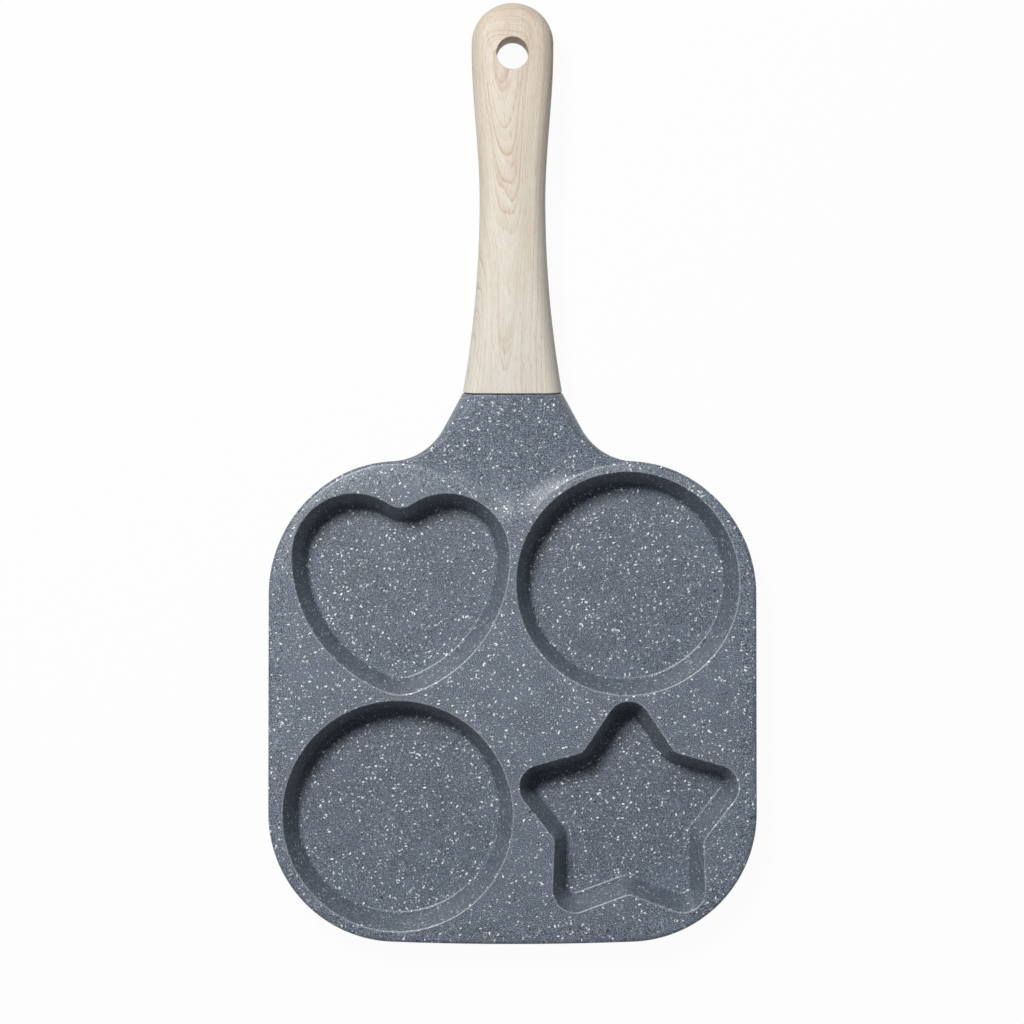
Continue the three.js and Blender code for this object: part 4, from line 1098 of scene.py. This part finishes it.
class Fixings:
    """The levels of the screw and its washers below the seat, in the joint's frame."""

    def __init__(self, settings, grip):
        self.screw, self.gap = settings.screw, settings.grip.gap
        screw = self.screw
        self.plain_top = grip.seat_z - self.gap
        self.spring_top = self.plain_top - screw.plain_thickness - self.gap
        self.head_top = self.spring_top - screw.spring_thickness - self.gap
        self.head_bottom = self.head_top - screw.head_height
        self.tip = settings.neck.tang_lift + settings.neck.tang_thickness / 2 - screw.tip_inset
        self.bore = screw.diameter / 2 + self.gap

    def screw_mesh(self, material):
        screw = self.screw
        radius, ease, inset = screw.head_diameter / 2, screw.head_round, screw.tip_inset
        shank = screw.diameter / 2 - screw.thread_depth
        rounded = [(radius - ease * (1 - math.cos(at)), self.head_bottom + ease * (1 + math.sin(at)))
                   for at in spread(-QUARTER, 0.0, EDGE_STEPS)]
        body = turned("screw", [
            (0.0, self.head_bottom), *rounded, (radius, self.head_top), (shank, self.head_top),
            (shank, self.tip - inset), (shank - inset, self.tip), (0.0, self.tip)])
        depth = screw.slot_depth + OVERRUN
        middle = (0.0, 0.0, self.head_bottom + screw.slot_depth - depth / 2)
        slots = [block("slot_across", screw.slot_length, screw.slot_width, depth, middle),
                 block("slot_along", screw.slot_width, screw.slot_length, depth, middle)]
        length = self.tip - inset - self.head_top - 2 * screw.pitch
        ridge = thread_form(material).grown({"Radius": screw.diameter / 2, "Turns": length / screw.pitch,
                                             "Length": length, "Ridge": RIDGE_SHARE * screw.thread_depth})
        thread = moved(closed(ridge), Matrix.Translation((0.0, 0.0, self.head_top + screw.pitch)))
        return combined(body, ("UNION", thread), *[("DIFFERENCE", slot) for slot in slots])

    def washer_section(self, diameter, thickness, top):
        outer, bottom, ease = diameter / 2, top - thickness, WASHER_EASE * thickness
        return [(self.bore, bottom), (outer - ease, bottom), (outer, bottom + ease), (outer, top - ease),
                (outer - ease, top), (self.bore, top)]

    def plain_mesh(self):
        screw = self.screw
        corners = self.washer_section(screw.plain_diameter, screw.plain_thickness, self.plain_top)
        return turned("washer", corners)

    def spring_mesh(self):
        screw = self.screw
        corners = self.washer_section(screw.spring_diameter, screw.spring_thickness, self.spring_top)
        split = screw.spring_split / (screw.spring_diameter / 2 + self.bore)
        rings = [[(radius * math.cos(at), radius * math.sin(at), height) for radius, height in corners]
                 for at in spread(split, 2 * math.pi - split, TURN_STEPS)]
        return loft("washer", rings)


MM = 1000.0
WHITE = (1.0, 1.0, 1.0, 1.0)


def millimetres(tree, vector):
    return tree.node("ShaderNodeVectorMath", {"operation": "SCALE"}, {0: vector, "Scale": MM})


class Flecks(NamedTuple):
    """Shards in the coating, in millimetres, and the share of their cells that hold one."""

    pitch: float
    least: float
    most: float
    softness: float
    kept: float


# The coating's flecks and mottling: sizes in millimetres, turns in radians, the rest shares and powers.
BRIGHT_FLECKS = Flecks(pitch=1.35, least=0.1, most=0.36, softness=0.04, kept=0.56)
FAINT_FLECKS = Flecks(pitch=1.05, least=0.06, most=0.32, softness=0.04, kept=0.9)
DARK_SPECKS = Flecks(pitch=3.6, least=0.14, most=0.6, softness=0.1, kept=0.55)
BRIGHT_LEAN = 0.15
FAINT_LEAN = 0.4
SPECK_TURN = (0.2, 0.7, 1.1)
SHARD_SCALE = (2.0, 1.0, 1.2)
SHARD_WAYS = 4
SHARD_PITCH_STEP = 0.11
SMALL_SHARDS = 1.5
SHARD_STRENGTH = 0.5
FAINT_STRENGTH = 0.32
SPECK_STRENGTH = 0.85
MOTTLE_CONTRAST = 6.8
CLOUD_CONTRAST = 0.6
MOTTLE_LEVEL = 0.47
# painted shade: how far the coating darkens towards the cups' floors
PAINTED_DEPTH_SHADE = 0.2
# painted highlight: how pale the line along the cups' rounded edges is
RIM_PAINTED_HIGHLIGHT = 0.18
FLECK_RELIEF = 0.5
COATING_ROUGHNESS = 0.33
MOTTLE_ROUGHNESS = 0.08
FLECK_GLOSS = 0.06


def coating_material(finish, deck_top, depth):
    """Blue-grey coating: fine mottling, pale flecks in all directions, a few dark specks, painted shade in
    the cups and painted rim highlights.
    """
    coat = Material("speckled_coating")
    place = millimetres(coat, coat.node("ShaderNodeTexCoord", out="Object"))

    def shards(kind, turn):
        """Shards of one kind that all lie one way."""
        laid = coat.node("ShaderNodeMapping", {"vector_type": "TEXTURE"},
                         {"Vector": place, "Rotation": turn, "Scale": SHARD_SCALE})
        cell = coat.node("ShaderNodeTexVoronoi", None, {"Vector": laid, "Scale": 1.0 / kind.pitch})
        chance = coat.node("ShaderNodeSeparateColor", None, {0: cell.out("Color")})
        radius = kind.least + chance.out("Green") ** SMALL_SHARDS * (kind.most - kind.least)
        inside = coat.clamped((radius - cell.out("Distance") * kind.pitch) / kind.softness)
        strength = SHARD_STRENGTH + chance.out("Blue") * (1.0 - SHARD_STRENGTH)
        return inside * (chance.out("Red") < kind.kept) * strength

    def layered(kind, lean):
        """Several layers of shards, turned evenly round the upright."""
        whole = None
        for step in range(SHARD_WAYS):
            turn = (lean, -lean / 2, math.pi * (step + lean) / SHARD_WAYS)
            layer = shards(kind._replace(pitch=kind.pitch + SHARD_PITCH_STEP * step), turn)
            whole = layer if whole is None else coat.maths("MAXIMUM", whole, layer)
        return whole

    fine = coat.noise(place, scale=2.6, detail=1.0)
    clouds = coat.noise(place, scale=0.11, detail=2.0)
    mottle = coat.clamped((fine - 0.5) * MOTTLE_CONTRAST + (clouds - 0.5) * CLOUD_CONTRAST + MOTTLE_LEVEL)
    bright = layered(BRIGHT_FLECKS, BRIGHT_LEAN)
    faint = layered(FAINT_FLECKS, FAINT_LEAN)
    pale = coat.maths("MAXIMUM", bright, faint * FAINT_STRENGTH)
    dark = shards(DARK_SPECKS, SPECK_TURN)
    # painted highlight: a pale line along the cups' rounded edges, strongest part way round them
    rim = coat.node("ShaderNodeAttribute", {"attribute_name": "rim"}, out="Fac")
    # painted shade: the coating turns darker with depth below the deck, down to the cups' floors
    painted_depth_shade = coat.clamped((deck_top * MM - coat.part(place, 2)) / (depth * MM))
    mottled = coat.mix(mottle, finish.coating_dark, finish.coating)
    shaded = coat.mix(painted_depth_shade * PAINTED_DEPTH_SHADE, mottled, finish.coating_dark)
    rim_highlighted = coat.mix(rim * RIM_PAINTED_HIGHLIGHT, shaded, finish.fleck_and_rim_highlight)
    speckled = coat.mix(dark * SPECK_STRENGTH, coat.mix(pale, rim_highlighted, finish.fleck_and_rim_highlight), finish.speck)
    roughness = COATING_ROUGHNESS + fine * MOTTLE_ROUGHNESS - pale * FLECK_GLOSS
    relief = coat.bump(strength=0.2, distance=0.00003, height=fine + pale * FLECK_RELIEF)
    return coat.shade({"Base Color": speckled, "Roughness": roughness, "Normal": relief})


def finder(points):
    """A search for the nearest of these points."""
    near = KDTree(len(points))
    for number, point in enumerate(points):
        near.insert(point, number)
    near.balance()
    return near


# the turn of a cup's rounded edge where the painted highlight is strongest
RIM_HIGHLIGHT_TURN = math.radians(23)
RIM_REACH = 1.5


def set_rim_painted_highlight(mesh, plan, cups):
    """Marks a painted highlight, a pale line, on the cups' rounded edges by how far they have turned."""
    places, outward = [], []
    for loop in plan.cup_outlines(cups):
        for before, point, after in zip(loop[-1:] + loop, loop, loop[1:] + loop[:1]):
            places.append(plan.shift @ point)
            outward.append(Vector((after.y - before.y, before.x - after.x, 0.0)).normalized())
    near = finder(places)
    rim = mesh.attributes.new("rim", "FLOAT", "POINT")
    for vertex, value in zip(mesh.vertices, rim.data):
        drop = plan.deck_top - vertex.co.z
        if 0.0 < drop < cups.edge:
            level = Vector((vertex.co.x, vertex.co.y, 0.0))
            place, number, distance = near.find(level)
            if distance < RIM_REACH * cups.edge and (level - place).dot(outward[number]) < -WELD:
                turn = math.acos(1.0 - drop / cups.edge)
                value.value = max(0.0, 1.0 - abs(turn - RIM_HIGHLIGHT_TURN) / RIM_HIGHLIGHT_TURN)


def set_dome(mesh, plan, deck):
    """Lets the upper side fall gently from both sides towards the deck's edge, but not across the notch."""
    notch = Vector((0.0, plan.notch_y, 0.0))
    edge = [plan.shift @ point for point in plan.deck_outline(deck)
            if (point - notch).length > deck.notch + WELD]
    near = finder(edge)
    for vertex in mesh.vertices:
        _, _, distance = near.find(Vector((vertex.co.x, vertex.co.y, 0.0)))
        reach = max(0.0, 1.0 - distance / (deck.crown_width + deck.dome_width))
        height = smooth_step(plan.deck_bottom, plan.deck_top, vertex.co.z)
        vertex.co.z -= deck.dome_drop * reach ** 2 * height


# The wood's rings and lines: sizes in millimetres, the rest shares and powers.
ARCH_RUN = 70.0
ARCH_HEIGHT = 8.0
TAIL_PACE = 0.48
LIFT_PACE = 0.15
PITH_ASIDE = 1.5
PITH_SWAY = 5.0
FLANK_PACE = 0.24
FLANK_GAIN = 0.05
STRAIGHT_FROM = 60.0
STRAIGHT_RUN = 50.0
STRAIGHT_GAIN = 0.5
RING_WAVE = 2.0
RING_RIPPLE = 0.2
RING_SHADE = 0.25
RING_SHARPNESS = 5.0
PALE_RINGS = 1.5
BROAD_RING = 0.8
BROAD_RING_STRENGTH = 0.6
FINE_RING = 0.29
FINE_RING_STRENGTH = 0.7
DASH_LEVEL = 0.52
DASH_CONTRAST = 4.5
DASH_STRENGTH = 0.55
STREAK_STRENGTH = 0.4
# painted shade: how far the wood darkens towards the tail
TAIL_PAINTED_SHADE = 0.4
BORE_STRENGTH = 0.7
BORE_EDGE = 0.3
WOOD_ROUGHNESS = 0.5
LINE_ROUGHNESS = 0.12


def wood_material(finish, grip):
    """Pale wood whose rings close round the hanging hole and arch into straight lines towards the joint."""
    wood = Material("pale_wood")
    grain = millimetres(wood, wood.node("ShaderNodeAttribute", {"attribute_name": "grain"}, out="Vector"))
    across, along, lift = (wood.part(grain, axis) for axis in range(3))

    def noise(pace, scale, detail=0.0):
        """Noise that runs along the grain at this share of its pace across it."""
        laid = wood.node("ShaderNodeMapping", None, {"Vector": grain, "Scale": (1.0, pace, 1.0)})
        return wood.noise(laid, scale, detail)

    hole_along = (grip.length - grip.hole_from_end) * MM
    past_hole = along - hole_along
    ahead = wood.maths("MAXIMUM", 0.0 - past_hole, 0.0)
    behind = wood.maths("MAXIMUM", past_hole, 0.0) * TAIL_PACE
    arch = (1.0 - wood.maths("EXPONENT", ahead / -ARCH_RUN)) * ARCH_HEIGHT
    sway = (noise(pace=0.15, scale=0.08) - 0.5) * PITH_SWAY
    centre = across + PITH_ASIDE + sway
    straight = wood.clamped((ahead - STRAIGHT_FROM) / STRAIGHT_RUN)
    aside = wood.maths("ABSOLUTE", centre)
    flank = centre * (FLANK_PACE + aside * FLANK_GAIN + straight * STRAIGHT_GAIN)
    reach = wood.maths("SQRT", flank * flank + arch * arch + behind * behind + lift * lift * LIFT_PACE)
    wave = (noise(pace=0.2, scale=0.13) - 0.5) * RING_WAVE
    ripple = (noise(pace=0.3, scale=0.5) - 0.5) * RING_RIPPLE
    waver = wave + ripple

    def rings(pitch):
        """Rings that darken outwards to a thin line, some of them stronger."""
        count = reach / pitch + waver
        within = wood.maths("FRACT", count)
        number = wood.maths("FLOOR", count)
        chance = wood.node("ShaderNodeTexWhiteNoise", {"noise_dimensions": "1D"}, {"W": number})
        return (within * RING_SHADE + within ** RING_SHARPNESS * (1.0 - RING_SHADE)) * chance ** PALE_RINGS

    dashes = wood.clamped((noise(pace=0.05, scale=5.0, detail=2.0) - DASH_LEVEL) * DASH_CONTRAST)
    streaks = noise(pace=0.2, scale=0.25, detail=2.0) - 0.5
    lines = rings(BROAD_RING) * BROAD_RING_STRENGTH + rings(FINE_RING) * FINE_RING_STRENGTH
    # painted shade: the wood darkens towards the tail, which lies nearer the key light
    painted_tail_shade = along / (grip.length * MM)
    line = wood.clamped(lines + dashes * DASH_STRENGTH + streaks * STREAK_STRENGTH
                        + painted_tail_shade * TAIL_PAINTED_SHADE)
    true_width = grip.tail_width / 2 / GRAIN_HALF_WIDTH
    from_hole = wood.maths("SQRT", (across * true_width) ** 2.0 + past_hole * past_hole)
    bore = wood.clamped((grip.hole / 2 * MM + BORE_EDGE - from_hole) / BORE_EDGE)
    tone = wood.mix(wood.maths("MAXIMUM", line, bore * BORE_STRENGTH), finish.wood, finish.wood_line)
    roughness = WOOD_ROUGHNESS + line * LINE_ROUGHNESS
    relief = wood.bump(strength=0.2, distance=0.0001, height=0.0 - line)
    return wood.shade({"Base Color": tone, "Roughness": roughness, "Normal": relief})


DULL_TONE = 0.7
DULL_STRENGTH = 0.3
STEEL_ROUGHNESS = 0.28
DULL_ROUGHNESS = 0.2


def steel_material(finish):
    """Zinc-plated steel with fine marks and a few dull patches."""
    steel = Material("plated_steel")
    place = millimetres(steel, steel.node("ShaderNodeTexCoord", out="Object"))
    dull = steel.noise(place, scale=0.9, detail=3.0)
    marks = steel.noise(place, scale=6.0, detail=1.0)
    tone = steel.mix(dull * DULL_STRENGTH, finish.steel, [DULL_TONE * value for value in finish.steel])
    roughness = STEEL_ROUGHNESS + dull * DULL_ROUGHNESS
    relief = steel.bump(strength=0.15, distance=0.00003, height=marks)
    return steel.shade({"Base Color": tone, "Roughness": roughness, "Metallic": 1.0, "Normal": relief})


def floor_material(stage):
    """A pale floor that the camera sees nearly white, with the object's shadow left on it."""
    floor = Material("pale_floor")
    path = floor.node("ShaderNodeLightPath", out="Is Camera Ray")
    seen = floor.clamped(path + path.out("Is Glossy Ray") + path.out("Is Transmission Ray"))
    matt = floor.node("ShaderNodeBsdfDiffuse", None, {"Color": (*stage.floor, 1.0)})
    white = floor.node("ShaderNodeEmission", None, {"Color": WHITE, "Strength": 1.0})
    mixed = floor.node("ShaderNodeMixShader", None, {0: seen * stage.floor_white, 1: matt, 2: white})
    floor.node("ShaderNodeOutputMaterial", None, {"Surface": mixed})
    return floor.material


FLOOR_Z = -0.0002
SENSOR = 36.0


def lay_floor(stage):
    """The floor, just below the cups' bases."""
    half = stage.floor_size / 2
    corners = [(-half, -half), (half, -half), (half, half), (-half, half)]
    mesh = bpy.data.meshes.new("floor")
    mesh.from_pydata([(x, y, FLOOR_Z) for x, y in corners], [], [(0, 1, 2, 3)])
    mesh.materials.append(floor_material(stage))
    placed("floor", mesh)


def key_light(stage, target):
    """A soft square lamp aimed at the deck's middle, as strong as its level says there."""
    data = bpy.data.lights.new("key", "AREA")
    data.size = stage.key_size
    data.energy = stage.key_level * (math.pi * stage.key_distance) ** 2 / math.sin(stage.key_height)
    flat = math.cos(stage.key_height)
    away = Vector((flat * math.cos(stage.key_bearing), flat * math.sin(stage.key_bearing),
                   math.sin(stage.key_height)))
    lamp = placed("key", data)
    lamp.location = target + away * stage.key_distance
    lamp.rotation_euler = away.to_track_quat("Z", "Y").to_euler()


def even_sky(stage):
    """White light from all round."""
    world = bpy.data.worlds.new("soft_sky")
    world.use_nodes = True
    sky = Tree(world.node_tree)
    sky.tree.nodes.clear()
    even = sky.node("ShaderNodeBackground", None, {"Color": WHITE, "Strength": stage.sky})
    sky.node("ShaderNodeOutputWorld", None, {"Surface": even})
    return world


def camera_above(stage, deck_top):
    """A camera that looks straight down at the deck."""
    data = bpy.data.cameras.new("camera")
    data.sensor_width = SENSOR
    data.lens = SENSOR * stage.camera_height / stage.frame_width
    camera = placed("camera", data)
    camera.location = (stage.aim_x, stage.aim_y, deck_top + stage.camera_height)
    return camera


def deck_plate(plan, deck, material):
    """The deck's plate on its outline, before the cups are cut."""
    curve = outline_curve("deck_outline", plan.deck_outline(deck))
    plate = deck_form(material).grown({
        "Outline": curve, "Deck level": plan.deck_top, "Thickness": deck.thickness,
        "Crown width": deck.crown_width, "Crown drop": deck.crown_drop, "Under round": deck.under_round,
        "Dome width": deck.dome_width})
    bpy.data.objects.remove(curve)
    return closed(plate)


def cup_walls(plan, cups, material):
    """The cups' shells, which are added below the deck, and their hollows, which are cut from above."""
    shell, hollow = shell_form(material), hollow_form(material)
    shared = {"Deck level": plan.deck_top, "Depth": cups.depth, "Draft": cups.draft, "Edge": cups.edge}
    shell_sizes = {"Wall": cups.wall, "Floor": cups.floor, "Base round": cups.base_round,
                   "Shell top": plan.deck_bottom + OVERRUN / 2}
    hollow_sizes = {"Floor fillet": cups.fillet, "Overrun": OVERRUN}
    shells, hollows = [], []
    for loop in plan.cup_outlines(cups):
        curve = outline_curve("cup_outline", loop)
        shared["Outline"] = curve
        shells.append(closed(shell.grown({**shared, **shell_sizes})))
        hollows.append(closed(hollow.grown({**shared, **hollow_sizes})))
        bpy.data.objects.remove(curve)
    return shells, hollows


class PAN_OT_casting(Operator):
    """Builds the casting: the deck with its cups, the neck and the tang"""

    bl_idname = "pan.casting"
    bl_label = "Build the casting"

    def execute(self, context):
        settings = context.scene.pan
        cups, deck, neck, screw = settings.cups, settings.deck, settings.neck, settings.screw
        plan = Plan(settings)
        material = coating_material(settings.finish, plan.deck_top, cups.depth)
        plate = deck_plate(plan, deck, material)
        added, cut = cup_walls(plan, cups, material)
        form = Neck(settings, plan)
        added.append(combined(form.body(), ("DIFFERENCE", form.hollow()), ("UNION", form.rib())))
        for mesh in (plate, *added, *cut):
            moved(mesh, plan.shift)
        added.append(moved(tang(neck), plan.joint))
        half = neck.tang_thickness / 2 + OVERRUN
        hole = rod("tapped_hole", screw.diameter / 2 + settings.grip.gap, -half, half)
        place = plan.joint @ Matrix.Translation((0.0, screw.from_joint, neck.tang_lift))
        cut.append(moved(hole, place))
        whole = combined(plate, *[("UNION", mesh) for mesh in added], *[("DIFFERENCE", mesh) for mesh in cut])
        set_rim_painted_highlight(whole, plan, cups)
        set_dome(whole, plan, deck)
        finished("casting", whole, material, "pan_casting")
        return {"FINISHED"}


class PAN_OT_grip(Operator):
    """Builds the wooden grip with its mortise, screw bores and hanging hole"""

    bl_idname = "pan.grip"
    bl_label = "Build the grip"

    def execute(self, context):
        settings = context.scene.pan
        mesh = moved(Grip(settings).shaped(), Plan(settings).joint)
        finished("grip", mesh, wood_material(settings.finish, settings.grip), "handle_grip")
        return {"FINISHED"}


class PAN_OT_fixings(Operator):
    """Builds the screw and its two washers"""

    bl_idname = "pan.fixings"
    bl_label = "Build the screw and washers"

    def execute(self, context):
        settings = context.scene.pan
        material = steel_material(settings.finish)
        fixings = Fixings(settings, Grip(settings))
        place = Plan(settings).joint @ Matrix.Translation((0.0, settings.screw.from_joint, 0.0))
        for name, mesh, node in (("screw", fixings.screw_mesh(material), "handle_screw"),
                                 ("spring_ring", fixings.spring_mesh(), "spring_washer"),
                                 ("flat_ring", fixings.plain_mesh(), "plain_washer")):
            finished(name, moved(mesh, place), material, node)
        return {"FINISHED"}


class PAN_OT_stage(Operator):
    """Sets the floor, the soft light, the even sky and the camera straight above"""

    bl_idname = "pan.stage"
    bl_label = "Set the stage"

    def execute(self, context):
        settings = context.scene.pan
        stage, plan = settings.stage, Plan(settings)
        lay_floor(stage)
        key_light(stage, plan.shift @ Vector((0.0, 0.0, plan.deck_top)))
        context.scene.world = even_sky(stage)
        context.scene.camera = camera_above(stage, plan.deck_top)
        context.scene.view_settings.view_transform = "Standard"
        return {"FINISHED"}


class PAN_PT_panel(Panel):
    """Lists the steps and the sizes of the pan"""

    bl_idname = "PAN_PT_panel"
    bl_label = "Breakfast pan"
    bl_space_type = "VIEW_3D"
    bl_region_type = "UI"
    bl_category = "Pan"

    def draw(self, context):
        settings = context.scene.pan
        for step in STEPS:
            self.layout.operator(step.bl_idname)
        for group in settings.bl_rna.properties:
            if group.type != "POINTER" or group.identifier == "rna_type":
                continue
            box = self.layout.box()
            box.label(text=group.identifier.capitalize())
            values = getattr(settings, group.identifier)
            for value in values.bl_rna.properties:
                if value.identifier not in {"rna_type", "name"}:
                    box.prop(values, value.identifier)


STEPS = (PAN_OT_casting, PAN_OT_grip, PAN_OT_fixings, PAN_OT_stage)
GROUPS = (CupSizes, DeckSizes, NeckSizes, GripSizes, ScrewSizes, Finishes, StageLook, PanSettings)
CLASSES = (*GROUPS, *STEPS, PAN_PT_panel)


def register():
    for each in CLASSES:
        bpy.utils.register_class(each)
    bpy.types.Scene.pan = PointerProperty(type=PanSettings)


def unregister():
    del bpy.types.Scene.pan
    for each in reversed(CLASSES):
        bpy.utils.unregister_class(each)


def main():
    register()
    bpy.ops.pan.casting()
    bpy.ops.pan.grip()
    bpy.ops.pan.fixings()
    bpy.ops.pan.stage()


if __name__ == "__main__":
    main()
